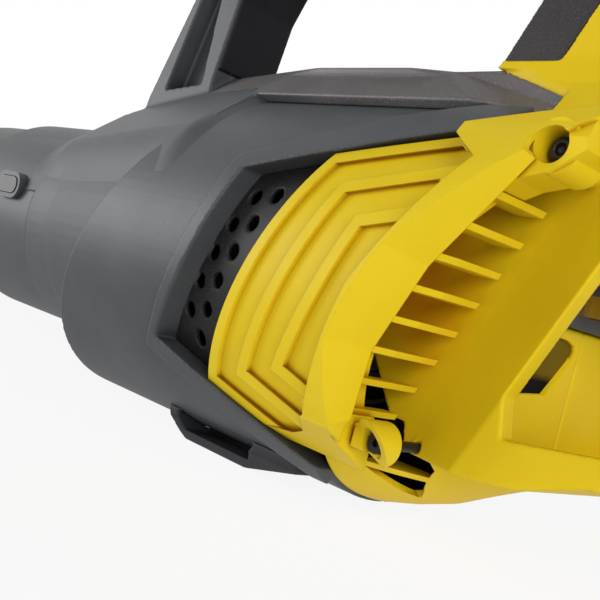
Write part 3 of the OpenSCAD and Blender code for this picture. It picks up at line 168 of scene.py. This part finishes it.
def make_grain():
    """Bump, speckle, mottle and dust, all as functions of object coordinates in metres."""
    group, given, made = new_group(
        "mould_grain",
        [("Grain size", "NodeSocketFloat", 0.0004), ("Depth", "NodeSocketFloat", 0.3),
         ("Normal", "NodeSocketVector", None)],
        [("Normal", "NodeSocketVector"), ("Speckle", "NodeSocketFloat"), ("Mottle", "NodeSocketFloat"),
         ("Dust", "NodeSocketFloat")])
    link = group.links.new
    place = group.nodes.new("ShaderNodeTexCoord").outputs["Object"]
    per_metre = add(group, "ShaderNodeMath", {"operation": "DIVIDE"})
    per_metre.inputs[0].default_value = 1.0
    link(given.outputs["Grain size"], per_metre.inputs[1])
    fine = add(group, "ShaderNodeTexNoise", Detail=3.0, Roughness=0.6)
    slow = add(group, "ShaderNodeTexNoise", Scale=MOTTLES_PER_METRE, Detail=4.0, Roughness=0.55)
    cells = add(group, "ShaderNodeTexVoronoi", Scale=DUST_CELLS_PER_METRE)
    for pattern in (fine, slow, cells):
        link(place, pattern.inputs["Vector"])
    link(per_metre.outputs[0], fine.inputs["Scale"])
    bump = add(group, "ShaderNodeBump", Distance=GRAIN_HEIGHT)
    link(given.outputs["Depth"], bump.inputs["Strength"])
    link(fine.outputs[0], bump.inputs["Height"])
    link(given.outputs["Normal"], bump.inputs["Normal"])
    tint = group.nodes.new("ShaderNodeSeparateColor")
    link(cells.outputs["Color"], tint.inputs[0])
    few = add(group, "ShaderNodeMath", {"operation": "GREATER_THAN"})
    few.inputs[1].default_value = DUST_RARITY
    link(tint.outputs["Red"], few.inputs[0])
    speck = product(group, ramp(group, cells.outputs["Distance"], DUST_EDGE, DUST_CORE), few.outputs[0])
    link(speck, made.inputs["Dust"])
    link(bump.outputs[0], made.inputs["Normal"])
    link(fine.outputs[0], made.inputs["Speckle"])
    link(slow.outputs[0], made.inputs["Mottle"])
    return group


grain_group = make_grain()
print("node group", grain_group.name)

# %% [markdown]
# Two masks read the shape itself. Hands and benches polish outward edges, which the renderer
# gives as pointiness. Slots and creases get painted shade where ambient occlusion finds them:
# it asks how much of the space within a reach is free, here of the same piece only.

# %% Edge mask and painted crease shade mask
FREE_SPACE, SHUT_SPACE = 0.80, 0.25


def make_edge_rub():
    """A mask that eases from 0 to 1 as pointiness goes from Low to High, so 1 on outward edges."""
    group, given, made = new_group(
        "edge_rub", [("Low", "NodeSocketFloat", 0.52), ("High", "NodeSocketFloat", 0.62)],
        [("Edge", "NodeSocketFloat")])
    link = group.links.new
    shape = group.nodes.new("ShaderNodeNewGeometry")
    ease = add(group, "ShaderNodeMapRange", {"interpolation_type": "SMOOTHSTEP"})
    link(shape.outputs["Pointiness"], ease.inputs["Value"])
    link(given.outputs["Low"], ease.inputs["From Min"])
    link(given.outputs["High"], ease.inputs["From Max"])
    link(ease.outputs["Result"], made.inputs["Edge"])
    return group


def make_painted_crease_shade():
    """A painted shade mask that is 0 on open faces and 1 deep in slots and creases, within a reach in metres.
    """
    group, given, made = new_group("painted_crease_shade", [("Reach", "NodeSocketFloat", 0.005)],
                                   [("Crease shade", "NodeSocketFloat")])
    space = add(group, "ShaderNodeAmbientOcclusion", {"samples": 8, "only_local": True})
    group.links.new(given.outputs["Reach"], space.inputs["Distance"])
    group.links.new(ramp(group, space.outputs["AO"], FREE_SPACE, SHUT_SPACE), made.inputs["Crease shade"])
    return group


rub_group = make_edge_rub()
crease_shade_group = make_painted_crease_shade()
print("node groups", rub_group.name, crease_shade_group.name)

# %% [markdown]
# A moulded material mixes two tones of its colour by the slow mottling, adds the speckle of
# its grain, and lightens where edges are rubbed. Creases get painted shade, a deep tone mixed
# into the colour, and dust shows on dark plastics only. Roughness rises a little in the speckle.
# A sharp moulding can be given a radius that only the shading sees, which is the Bevel node's work.

# %% Moulded material
DUST_TONE = (0.45, 0.44, 0.42)
DUST_SHARE = 0.55
DARK_TONE = 0.2
# CREASE_SHADE darkens a finish's deep tone into the painted shade of its creases when no tone is given.
CREASE_SHADE = 0.3


def new_material(name):
    """A material with nodes, its node tree and its Principled shader."""
    material = bpy.data.materials.new(name)
    material.use_nodes = True
    return material, material.node_tree, material.node_tree.nodes["Principled BSDF"]


def moulded_finish(name, tone, deep, rubbed, rough, size, depth, speckle, rub, level,
                   painted_crease_shade=None, reach=0.005, round_off=0.0):
    """Deep to tone by mottle, then rubbed by speckle and by edge, then painted shade in creases, then dust.
    """
    material, tree, skin = new_material(name)
    link = tree.links.new
    skin.inputs["Specular IOR Level"].default_value = level
    grain = add(tree, "ShaderNodeGroup", {"node_tree": grain_group}, Grain_size=size, Depth=depth)
    edge = add(tree, "ShaderNodeGroup", {"node_tree": rub_group})
    shade_in_creases = add(tree, "ShaderNodeGroup", {"node_tree": crease_shade_group}, Reach=reach)
    if round_off:
        soft = add(tree, "ShaderNodeBevel", {"samples": 6}, Radius=round_off)
        link(soft.outputs["Normal"], grain.inputs["Normal"])
    dust_share = DUST_SHARE if max(tone) < DARK_TONE else 0.0
    colour = mix_tones(tree, ramp(tree, grain.outputs["Mottle"], 0.35, 0.65), deep, tone)
    colour = mix_tones(tree, ramp(tree, grain.outputs["Speckle"], 0.55, 0.75, 0.0, speckle), colour, rubbed)
    colour = mix_tones(tree, product(tree, edge.outputs["Edge"], rub), colour, rubbed)
    # Painted shade: slots and creases are darkened towards a deep tone by ambient occlusion.
    colour = mix_tones(tree, shade_in_creases.outputs["Crease shade"], colour, painted_crease_shade or tuple(v * CREASE_SHADE for v in deep))
    colour = mix_tones(tree, product(tree, grain.outputs["Dust"], dust_share), colour, DUST_TONE)
    link(colour, skin.inputs["Base Color"])
    link(ramp(tree, grain.outputs["Speckle"], 0.3, 0.7, rough - 0.06, rough + 0.08), skin.inputs["Roughness"])
    link(grain.outputs["Normal"], skin.inputs["Normal"])
    return material


print("dust shows on plastics darker than", DARK_TONE)

# %% [markdown]
# The table gives each plastic and rubber of the blower its tones, its grain size in metres and
# its grain depth. The band's grain is coarse and warm, the yellow's is nearly smooth, and the
# painted shade in the charcoal's creases goes almost black within a centimetre. The yellow's
# creases are painted deep orange, the shade of light bounced between yellow walls.

# %% Plastics and rubbers
MOULDED = {
    "charcoal_plastic": dict(
        tone=(0.066, 0.070, 0.077), deep=(0.054, 0.057, 0.064), rubbed=(0.15, 0.155, 0.165), rough=0.45,
        size=0.00055, depth=0.55, speckle=0.30, rub=0.35, level=0.26, painted_crease_shade=(0.009, 0.009, 0.010),
        reach=0.011),
    "band_plastic": dict(
        tone=(0.118, 0.107, 0.109), deep=(0.088, 0.080, 0.082), rubbed=(0.36, 0.33, 0.33), rough=0.42,
        size=0.0008, depth=1.0, speckle=0.75, rub=0.40, level=0.40),
    "panel_plastic": dict(
        tone=(0.017, 0.016, 0.018), deep=(0.011, 0.011, 0.012), rubbed=(0.14, 0.135, 0.14), rough=0.46,
        size=0.0007, depth=0.8, speckle=0.35, rub=0.35, level=0.16),
    # The yellow's deep orange crease tone is painted shade.
    "yellow_plastic": dict(
        tone=(0.78, 0.562, 0.009), deep=(0.74, 0.525, 0.008), rubbed=(0.81, 0.63, 0.03), rough=0.48,
        size=0.0009, depth=0.12, speckle=0.08, rub=0.30, level=0.15, painted_crease_shade=(0.36, 0.15, 0.001), reach=0.0042,
        round_off=0.0006),
    "black_rubber": dict(
        tone=(0.009, 0.009, 0.011), deep=(0.006, 0.006, 0.008), rubbed=(0.04, 0.04, 0.045), rough=0.60,
        size=0.0006, depth=0.5, speckle=0.20, rub=0.3, level=0.18),
    "pad_rubber": dict(
        tone=(0.036, 0.031, 0.033), deep=(0.028, 0.024, 0.025), rubbed=(0.17, 0.155, 0.155), rough=0.52,
        size=0.0007, depth=0.9, speckle=0.45, rub=0.3, level=0.20),
    "black_plastic": dict(
        tone=(0.020, 0.020, 0.022), deep=(0.014, 0.014, 0.016), rubbed=(0.09, 0.09, 0.095), rough=0.45,
        size=0.0006, depth=0.5, speckle=0.3, rub=0.4, level=0.35),
    # Painted shade: the olive brown of yellow plastic in shade, for the plate on the recess floor.
    "recess_plastic": dict(
        tone=(0.16, 0.105, 0.008), deep=(0.13, 0.085, 0.006), rubbed=(0.16, 0.11, 0.01), rough=0.6,
        size=0.0006, depth=0.3, speckle=0.1, rub=0.0, level=0.05),
    # Painted shade takes the foot's pocket almost to black.
    "foot_plastic": dict(
        tone=(0.030, 0.031, 0.034), deep=(0.024, 0.025, 0.028), rubbed=(0.12, 0.12, 0.125), rough=0.5,
        size=0.00055, depth=0.5, speckle=0.30, rub=0.35, level=0.15, painted_crease_shade=(0.003, 0.003, 0.003),
        reach=0.012),
    "tube_plastic": dict(
        tone=(0.045, 0.047, 0.050), deep=(0.034, 0.036, 0.038), rubbed=(0.13, 0.13, 0.135), rough=0.46,
        size=0.0006, depth=0.5, speckle=0.3, rub=0.35, level=0.40),
    "fan_plastic": dict(
        tone=(0.26, 0.27, 0.28), deep=(0.21, 0.22, 0.23), rubbed=(0.42, 0.42, 0.43), rough=0.42,
        size=0.0009, depth=0.3, speckle=0.3, rub=0.3, level=0.45),
    "wire_cover": dict(
        tone=(0.40, 0.025, 0.018), deep=(0.30, 0.018, 0.013), rubbed=(0.5, 0.06, 0.05), rough=0.5,
        size=0.0012, depth=0.2, speckle=0.1, rub=0.2, level=0.4),
}
finishes = {name: moulded_finish(name, **look) for name, look in MOULDED.items()}
print("moulded finishes", len(finishes))

# %% [markdown]
# Metals carry fine turning marks. The marks are a noise that is squeezed along X, so that it
# runs in streaks across that axis, and they change both tone and roughness. On the stator's
# core they are finer still, like the edges of its stacked sheets.

# %% Metals
FINE_TURNING, SHEET_EDGES = (900, 90, 90), (3000, 40, 40)


def metal_finish(name, tone, deep, rough, metal=1.0, stretch=FINE_TURNING):
    """Deep to tone by the streaks, which also take roughness from rough - 0.08 to rough + 0.12."""
    material, tree, skin = new_material(name)
    link = tree.links.new
    skin.inputs["Metallic"].default_value = metal
    place = tree.nodes.new("ShaderNodeTexCoord")
    scale = add(tree, "ShaderNodeMapping", Scale=stretch)
    marks = add(tree, "ShaderNodeTexNoise", Scale=1.0, Detail=4.0)
    link(place.outputs["Object"], scale.inputs["Vector"])
    link(scale.outputs["Vector"], marks.inputs["Vector"])
    link(mix_tones(tree, marks.outputs[0], deep, tone), skin.inputs["Base Color"])
    link(ramp(tree, marks.outputs[0], 0.0, 1.0, rough - 0.08, rough + 0.12), skin.inputs["Roughness"])
    return material


finishes.update({
    "steel": metal_finish("steel", (0.60, 0.60, 0.61), (0.42, 0.42, 0.43), 0.30),
    "black_steel": metal_finish("black_steel", (0.035, 0.035, 0.038), (0.018, 0.018, 0.020), 0.38, 0.6),
    "core_steel": metal_finish("core_steel", (0.34, 0.34, 0.36), (0.20, 0.20, 0.22), 0.40, 1.0, SHEET_EDGES),
    "motor_aluminium": metal_finish("motor_aluminium", (0.66, 0.67, 0.69), (0.50, 0.51, 0.53), 0.32),
    "copper": metal_finish("copper", (0.70, 0.30, 0.12), (0.45, 0.16, 0.06), 0.35),
    "contact_metal": metal_finish("contact_metal", (0.72, 0.62, 0.42), (0.55, 0.46, 0.28), 0.28),
})
print("finishes with metals", len(finishes))

# %% [markdown]
# The CAD record names a material slot for each node, and the finish of that name goes on it.
# The same record says which body each node moves with, and later pieces ask for both.

# %% Finishes on the CAD nodes
SLOT_OF = {part["node"]: part["material_slot"] for part in frame["record"]["subparts"]}
BODY_OF = {node: body for body, nodes in frame["record"]["behaviour"]["bodies"].items() for node in nodes}
for node, slot_name in SLOT_OF.items():
    if node in frame["nodes"]:
        materials = frame["nodes"][node].data.materials
        materials.clear()
        materials.append(finishes[slot_name])
print("finishes on", len(frame["nodes"]), "CAD nodes")

# %% [markdown]
# ## Tones that change with the place
# The spine carries its coarse warm grain on the band only, and its front flanks, which sweep
# down over the shoulder, are as cool as the housing. Light that has bounced two or three times
# between yellow walls turns orange, so the deep wall behind the comb fins is tinted, more the
# further ahead it lies. The recess in the bay wall gets painted shade that goes black towards its
# low corner. All three are a tone mixed in by a product of ramps on object coordinates.

# %% Tones by place
FLANK_TONE = (0.062, 0.066, 0.073)
DEEP_WALL_TONE = (0.80, 0.35, 0.004)
RECESS_SHADE = (0.004, 0.004, 0.004)


def tint_by_place(material, tone, ramps):
    """Mixes tone in by the product of ramps; each is an axis, X, Y or Z, where it is 0 and where it is 1.
    Y counts as the distance from the middle plane, so that both sides are the same."""
    tree = material.node_tree
    socket = tree.nodes["Principled BSDF"].inputs["Base Color"]
    before = socket.links[0].from_socket
    parts = tree.nodes.new("ShaderNodeSeparateXYZ")
    across = add(tree, "ShaderNodeMath", {"operation": "ABSOLUTE"})
    tree.links.new(tree.nodes.new("ShaderNodeTexCoord").outputs["Object"], parts.inputs[0])
    tree.links.new(parts.outputs["Y"], across.inputs[0])
    sources = {"X": parts.outputs["X"], "Y": across.outputs[0], "Z": parts.outputs["Z"]}
    share = None
    for axis, none_at, full_at in ramps:
        step = ramp(tree, sources[axis], none_at, full_at)
        share = step if share is None else product(tree, share, step)
    tree.links.new(mix_tones(tree, share, before, tone), socket)
    print(material.name, "tinted by", len(ramps), "ramps")


tint_by_place(finishes["band_plastic"], FLANK_TONE, [("Z", 0.1735, 0.1705), ("X", 0.020, -0.005)])
tint_by_place(finishes["yellow_plastic"], DEEP_WALL_TONE,
              [("X", 0.132, 0.104), ("Y", 0.055, 0.050), ("Z", 0.140, 0.134), ("Z", 0.055, 0.090)])
# Painted shade: the recess plate goes black towards its low corner.
tint_by_place(finishes["recess_plastic"], RECESS_SHADE, [("Z", 0.0765, 0.0735)])

# %% [markdown]
# ## Edges of the mouldings
# No moulded edge is sharp. For the shells, a copy of the solid is merged and a fine voxel skin
# is laid over it and relaxed, which rounds every edge, inside and out, by about the size of a
# voxel. Flat areas are then thinned out again. A Bevel modifier wants clean loops of faces
# beside an edge, and a CAD solid comes as long thin triangles, so it was not the choice here.

# %% Voxel skins
def show(name, mesh, finish=None):
    """Links an object with this mesh into the scene, at the origin, and gives it a finish."""
    piece = bpy.data.objects.new(name, mesh)
    bpy.context.scene.collection.objects.link(piece)
    if finish:
        mesh.materials.append(finishes[finish])
    return piece


def merged_copy(node, distance, fills=()):
    """A bmesh of a CAD node with its loose triangles joined, and closed boxes (low, high) added."""
    shape = bmesh.new()
    shape.from_mesh(frame["nodes"][node].data)
    bmesh.ops.remove_doubles(shape, verts=shape.verts, dist=distance)
    for low, high in fills:
        middle = Vector(low).lerp(Vector(high), 0.5)
        size = Matrix.Diagonal((*(Vector(high) - Vector(low)), 1))
        bmesh.ops.create_cube(shape, size=1, matrix=Matrix.Translation(middle) @ size)
    return shape


def stand_in(piece, node):
    """The piece is shown in the node's stead and moves with its body."""
    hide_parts(node)
    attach(piece, BODY_OF[node])
    print(piece.name, len(piece.data.polygons), "faces")
    return piece


def rounded(node, voxel, passes, keep, fills=(), cut=None, finish=None):
    """A relaxed voxel skin of a CAD node, thinned to the share keep; cut is a mesh taken away from it."""
    mesh = frame["nodes"][node].data.copy()
    shape = merged_copy(node, 1e-6, fills)
    shape.to_mesh(mesh)
    shape.free()
    piece = show("skin_" + node, mesh)
    skin = piece.modifiers.new("skin", "REMESH")
    skin.mode, skin.voxel_size, skin.use_smooth_shade = "VOXEL", voxel, True
    relax = piece.modifiers.new("relax", "SMOOTH")
    relax.factor, relax.iterations = 0.5, passes
    piece.modifiers.new("thin", "DECIMATE").ratio = keep
    if cut:
        tool = show("recess_tool", cut)
        sink = piece.modifiers.new("sink", "BOOLEAN")
        sink.operation, sink.solver, sink.object = "DIFFERENCE", "FAST", tool
    baked = bpy.data.meshes.new_from_object(piece.evaluated_get(bpy.context.evaluated_depsgraph_get()))
    piece.modifiers.clear()
    if cut:
        bpy.data.objects.remove(tool)
    piece.data = baked
    baked.materials.clear()
    baked.materials.append(finishes[finish or SLOT_OF[node]])
    baked.polygons.foreach_set("use_smooth", np.full(len(baked.polygons), True))
    return stand_in(piece, node)


print("a voxel skin stands in for a CAD node and keeps its slot and body")

# %% [markdown]
# The intake covers are the exception. Their slots are so narrow that a voxel skin closes them,
# so a cover keeps its own faces. They are shaded smooth, with an edge left hard wherever two
# faces meet at more than a few degrees, and the finish rounds those edges in its shading. Out
# on the crest the faces follow a swept curve, and a wider angle keeps them soft.

# %% Crisp covers
AXIS_Z = 0.090
CREST_RADIUS = 0.0945
RIB_ANGLE, CREST_ANGLE = 8, 38


def crisp(node):
    """A merged copy. An edge is soft below RIB_ANGLE degrees, and further than CREST_RADIUS from the
    fan's axis below CREST_ANGLE degrees."""
    mesh = frame["nodes"][node].data.copy()
    shape = merged_copy(node, 2e-6)
    for face in shape.faces:
        face.smooth = True
    for edge in shape.edges:
        reach = min(math.hypot(v.co.y, v.co.z - AXIS_Z) for v in edge.verts)
        limit = CREST_ANGLE if reach > CREST_RADIUS else RIB_ANGLE
        edge.smooth = edge.calc_face_angle(math.pi) < math.radians(limit)
    shape.to_mesh(mesh)
    shape.free()
    piece = show("skin_" + node, mesh)
    weigh = piece.modifiers.new("weigh", "WEIGHTED_NORMAL")
    weigh.mode, weigh.weight, weigh.keep_sharp = "FACE_AREA_WITH_ANGLE", 60, True
    return stand_in(piece, node)


covers = [crisp(node) for node in ("cover_left", "cover_right")]
print("crisp covers", len(covers))

# %% [markdown]
# A shell takes a voxel of 0.8 mm and three relaxing passes, and the smaller pieces 0.7 mm. The
# front post is soft all over, with no hard line on it, so it gets ten passes. The foot has a
# darker finish of its own, and painted shade takes it almost to black in its pocket.

# %% Rounded shells
COARSER = 1
SHELL_VOXEL, SMALL_VOXEL = 0.0008 * COARSER, 0.0007 * COARSER
SHELLS = ("housing_left", "housing_right", "spine")
SMALL = ("grip_rubber", "post_rubber", "rear_post_pad", "vent_panel_left", "vent_panel_right")
POSTS = ("front_post_left", "front_post_right")
shells = [rounded(node, SHELL_VOXEL, 3, 0.5) for node in SHELLS]
shells.append(rounded("foot", SHELL_VOXEL, 3, 0.5, finish="foot_plastic"))
shells += [rounded(node, SMALL_VOXEL, 3, 0.5) for node in SMALL]
shells += [rounded(node, SHELL_VOXEL, 10, 0.4) for node in POSTS]
print("rounded shells", len(shells))

# %% [markdown]
# ## The bay wall
# The front wall of the battery bay is one smooth moulded face. Boxes fill the small cast slots
# of the solids, and one slanted recess with a rounded corner is cut 3 mm deep below the
# terminals, on the left side only. A thin plate is the floor of the recess, painted with the
# shade in it: olive brown, going black towards its low corner.

# %% Bay wall
BAY_X = 0.150
RECESS = [(-0.0335, 0.0675), (-0.0165, 0.0690), (-0.0045, 0.0830), (-0.0030, 0.0865),
          (-0.0045, 0.0890), (-0.0090, 0.0905), (-0.0335, 0.0920)]
RECESS_DEPTH, PLATE_BACK, PLATE_FRONT = 0.003, 0.0029, 0.0022


def prism(outline, x_low, x_high):
    """A closed prism: point k of the outline is (y, z), and the prism runs between two x values."""
    count = len(outline)
    points = [(x, y, z) for x in (x_low, x_high) for y, z in outline]
    sides = [(k, (k + 1) % count, count + (k + 1) % count, count + k) for k in range(count)]
    mesh = bpy.data.meshes.new("prism")
    mesh.from_pydata(points, [], [tuple(reversed(range(count))), tuple(range(count, 2 * count))] + sides)
    shape = bmesh.new()
    shape.from_mesh(mesh)
    bmesh.ops.recalc_face_normals(shape, faces=shape.faces)
    shape.to_mesh(mesh)
    shape.free()
    return mesh


def bay_fills(side):
    """Three boxes (low, high) that close the slots of one shell; side is -1 on the left, 1 on the right."""
    upper, lower, way = (sorted((side * a, side * b))
                         for a, b in ((0.001, 0.0172), (0.0172, 0.0312), (-0.0005, 0.0112)))
    return [((BAY_X - 0.0058, upper[0], 0.0772), (BAY_X, upper[1], 0.0838)),
            ((BAY_X - 0.0058, lower[0], 0.0612), (BAY_X, lower[1], 0.0688)),
            ((BAY_X - 0.0025, way[0], 0.0832), (BAY_X, way[1], 0.0928))]


shells.append(rounded("rear_shell_left", SHELL_VOXEL, 3, 0.5, bay_fills(-1),
                      prism(RECESS, BAY_X - RECESS_DEPTH, BAY_X + 0.001)))
shells.append(rounded("rear_shell_right", SHELL_VOXEL, 3, 0.5, bay_fills(1)))
# The plate on the recess floor carries painted shade.
recess_shade_sheet = show("recess_shade_sheet", prism(RECESS, BAY_X - PLATE_BACK, BAY_X - PLATE_FRONT), "recess_plastic")
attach(recess_shade_sheet, "blower")
print("recess", len(RECESS), "corners,", RECESS_DEPTH * 1000, "mm deep")

# %% [markdown]
# ## The shoulder
# The spine's flanks, the foot of the front post and the cone of the housing are one soft sweep
# on the real blower. Fillets of the solids would each end at an edge, so one surface is laid
# over all three. It is worked out round the fan's axis, where both the flank, a plane, and the
# cone, a circle, are short formulas of the angle.

# %% Shoulder sweep
CONE = [(-0.200, 0.0635), (-0.175, 0.0652), (-0.155, 0.0666), (-0.085, 0.0749), (-0.062, 0.0776),
        (-0.055, 0.0798), (-0.045, 0.0838), (-0.037, 0.0859), (0.0, 0.0859)]
SLOPE, SLOPE_X = 0.184, -0.085
FLANK_RISE, FLANK_NORMAL, FLANK_STEP = 0.10604, 1.3157, 0.00035
FLANK_LEAN, FLANK_LOW, EASE = (math.radians(v) for v in (40.5, 49, 27))
DECK_LINE, DECK_LEVEL, POST_LINE, POST_CLIMB, POST_X = 0.17723, 0.175, 0.1602, 1.3, -0.165
FRONT_X, FRONT_EASE, REAR_X, REAR_EASE = -0.193, 0.026, -0.020, 0.016
UNDER_CONE, SHEET = 0.0004, 0.0010


def soft_step(t):
    """3 t squared - 2 t cubed between 0 and 1, level outside."""
    t = np.clip(t, 0, 1)
    return t * t * (3 - 2 * t)


def shoulder_grid(along=150, round_it=180):
    """Rows are x, columns are the angle a from straight up; the point is (x, -r sin a, axis + r cos a).

    The flank is a plane. Its normal leans 40.5 degrees from straight up, and it climbs 0.184 mm
    for each mm of x, so r = distance / cos(a - 40.5 degrees), where the distance is the plane's
    rise over the axis divided by the length of its normal. Past 49 degrees r stays as it is
    there. The top is the lowest of a sloping line, a level line and a steep one that starts
    165 mm ahead of the origin. From 49 degrees down, over 27 degrees, and at both ends of x, r
    eases to the cone, 0.4 mm inside its skin, so that the edge of the sheet is buried.
    """
    x = np.linspace(-0.194, -0.008, along)[:, None]
    a = np.radians(np.linspace(-80, 80, round_it))[None, :]
    cone = np.interp(x, *zip(*CONE)) - UNDER_CONE
    turn = np.minimum(np.abs(a), FLANK_LOW)
    climb = SLOPE * (x - SLOPE_X)
    plane = (FLANK_RISE + climb) / FLANK_NORMAL / np.cos(turn - FLANK_LEAN)
    deck = np.minimum(DECK_LINE + climb, DECK_LEVEL)
    top = np.minimum(deck, POST_LINE + POST_CLIMB * np.maximum(x - POST_X, 0))
    r = np.minimum(plane, (top - AXIS_Z) / np.cos(turn)) + FLANK_STEP
    down = soft_step((np.abs(a) - FLANK_LOW) / EASE)
    ends = soft_step((x - FRONT_X) / FRONT_EASE) * soft_step((REAR_X - x) / REAR_EASE)
    r = cone + (r - cone) * (1 - down) * ends
    return np.stack([x + 0 * a, -r * np.sin(a), AXIS_Z + r * np.cos(a)], axis=-1)


def sheet_mesh(name, grid):
    """Quads between the rows and columns of a grid of points, all wound the same way."""
    rows, columns = grid.shape[:2]
    index = np.arange(rows * columns).reshape(rows, columns)
    quads = np.stack([index[:-1, :-1], index[:-1, 1:], index[1:, 1:], index[1:, :-1]], axis=-1).reshape(-1, 4)
    mesh = bpy.data.meshes.new(name)
    mesh.from_pydata(grid.reshape(-1, 3).tolist(), [], quads.tolist())
    mesh.polygons.foreach_set("use_smooth", np.full(len(quads), True))
    return mesh


shoulder = show("shoulder_sweep", sheet_mesh("shoulder_sweep", shoulder_grid()), "charcoal_plastic")
wall = shoulder.modifiers.new("wall", "SOLIDIFY")
wall.thickness, wall.offset = SHEET, -1
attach(shoulder, "blower")
middle_face = shoulder.data.polygons[len(shoulder.data.polygons) // 2]
print("shoulder faces", len(shoulder.data.polygons), "outward", middle_face.normal.z > 0)

# %% [markdown]
# ## Upper cover screws
# In the solids these screws sit so deep in their pockets that they don't show. Here each one
# has a round shank above the boss, so that its head stands where the eye finds it, with a
# domed rim and a recess for the driver. It is a turned profile: points of radius and height
# in millimetres, swept round the screw's axis.

# %% Upper screw heads
HEAD_AT, HEAD_BASE = (0.164, 0.147), 0.0605
HEAD_PROFILE = [(0.0, 0.0), (3.2, 0.0), (3.2, 5.0), (4.2, 5.2), (4.4, 6.0), (4.2, 7.2), (3.4, 7.9),
                (2.2, 8.1), (1.9, 7.4), (1.8, 6.0), (0.0, 5.9)]


def turned_grid(profile, around=48):
    """Rows are profile points, columns are angles; point = (r cos t, height, r sin t), in metres."""
    r, up = (np.array(v)[:, None] * 0.001 for v in zip(*profile))
    t = np.linspace(0, 2 * math.pi, around)[None, :]
    return np.stack([r * np.cos(t), up + 0 * t, r * np.sin(t)], axis=-1)


def turned_head(label, side):
    """The turned grid with its seam and poles merged and its faces outward, on one side's boss."""
    grid = turned_grid(HEAD_PROFILE) * (1, side, 1) + (HEAD_AT[0], side * HEAD_BASE, HEAD_AT[1])
    mesh = sheet_mesh("upper_head", grid)
    shape = bmesh.new()
    shape.from_mesh(mesh)
    bmesh.ops.remove_doubles(shape, verts=shape.verts, dist=1e-6)
    bmesh.ops.recalc_face_normals(shape, faces=shape.faces)
    shape.to_mesh(mesh)
    shape.free()
    head = show("upper_head_" + label, mesh, "black_steel")
    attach(head, "blower")
    return head


heads = [turned_head("left", -1), turned_head("right", 1)]
print("screw heads", len(heads), "top at y", round(HEAD_BASE + 0.001 * max(up for _, up in HEAD_PROFILE), 4))

# %% [markdown]
# ## Light, floor and backdrop
# Two large soft lamps stand on the blower's left, one ahead of it and one behind, and the
# world adds a weak light from all sides. Seen by the camera, in glossy reflections and through
# clear things, the world is plain white, but it lights the blower at its weak strength only.
# The floor is part paint, which takes the shadow, and part glow, more of it to the camera.

# %% Lamps
LAMP_AIM = (0.05, 0, 0.1)
LAMPS = [("key", (-1.15, -0.85, 0.30), 0.7, 9.5), ("fill", (1.15, -0.75, 0.38), 0.8, 10.5)]


def area_lamp(name, place, size, power):
    """A round lamp at a place, turned so that its beam, its own -Z, points at the aim."""
    lamp = bpy.data.lights.new(name, "AREA")
    lamp.shape, lamp.size, lamp.energy = "DISK", size, power
    holder = bpy.data.objects.new(name, lamp)
    bpy.context.scene.collection.objects.link(holder)
    holder.location = place
    holder.rotation_mode = "QUATERNION"
    holder.rotation_quaternion = (Vector(place) - Vector(LAMP_AIM)).to_track_quat("Z", "Y")
    return holder


lamps = [area_lamp(*row) for row in LAMPS]
bpy.context.scene.view_settings.view_transform = "Standard"
print("lamps", [lamp.name for lamp in lamps])

# %% [markdown]
# The floor is a plain square half a millimetre under the foot, so that the two don't flicker.
# The share of glow is 0.50 for the light that the floor gives back and 0.90 to the camera.

# %% Floor
FLOOR_GLOW, FLOOR_BOUNCE = 0.90, 0.50
FLOOR_HALF, FLOOR_Z = 6, -0.0005

corners = [(FLOOR_HALF * a, FLOOR_HALF * b, FLOOR_Z) for a, b in ((-1, -1), (1, -1), (1, 1), (-1, 1))]
floor_mesh = bpy.data.meshes.new("floor")
floor_mesh.from_pydata(corners, [], [(0, 1, 2, 3)])
floor = show("floor", floor_mesh)
floor_finish, tree, paint = new_material("floor")
paint.inputs["Base Color"].default_value = (0.82, 0.82, 0.82, 1)
paint.inputs["Roughness"].default_value = 0.9
glow = add(tree, "ShaderNodeEmission", Strength=1.0)
share = add(tree, "ShaderNodeMath", {"operation": "MULTIPLY_ADD"})
share.inputs[1].default_value = FLOOR_GLOW - FLOOR_BOUNCE
share.inputs[2].default_value = FLOOR_BOUNCE
mix = tree.nodes.new("ShaderNodeMixShader")
tree.links.new(tree.nodes.new("ShaderNodeLightPath").outputs["Is Camera Ray"], share.inputs[0])
tree.links.new(share.outputs[0], mix.inputs[0])
tree.links.new(paint.outputs[0], mix.inputs[1])
tree.links.new(glow.outputs[0], mix.inputs[2])
tree.links.new(mix.outputs[0], tree.nodes["Material Output"].inputs[0])
floor_mesh.materials.append(floor_finish)
print("floor", 2 * FLOOR_HALF, "m wide")

# %% [markdown]
# The world has two backgrounds, one that lights and one that is seen. The largest of three
# ray flags picks the seen one: camera, transmission and glossy.

# %% World
WORLD_LIGHT, WORLD_SEEN = 0.18, 1.0

world = bpy.data.worlds.new("studio")
bpy.context.scene.world = world
world.use_nodes = True
tree = world.node_tree
ground = tree.nodes["Background"]
seen = tree.nodes.new("ShaderNodeBackground")
for backdrop, strength in ((ground, WORLD_LIGHT), (seen, WORLD_SEEN)):
    backdrop.inputs["Color"].default_value = (1, 1, 1, 1)
    backdrop.inputs["Strength"].default_value = strength
path = tree.nodes.new("ShaderNodeLightPath")
mix = tree.nodes.new("ShaderNodeMixShader")
flag = path.outputs["Is Camera Ray"]
for other in ("Is Transmission Ray", "Is Glossy Ray"):
    larger = add(tree, "ShaderNodeMath", {"operation": "MAXIMUM"})
    tree.links.new(flag, larger.inputs[0])
    tree.links.new(path.outputs[other], larger.inputs[1])
    flag = larger.outputs[0]
tree.links.new(flag, mix.inputs[0])
tree.links.new(ground.outputs[0], mix.inputs[1])
tree.links.new(seen.outputs[0], mix.inputs[2])
tree.links.new(mix.outputs[0], tree.nodes["World Output"].inputs[0])
print("world", world.name)
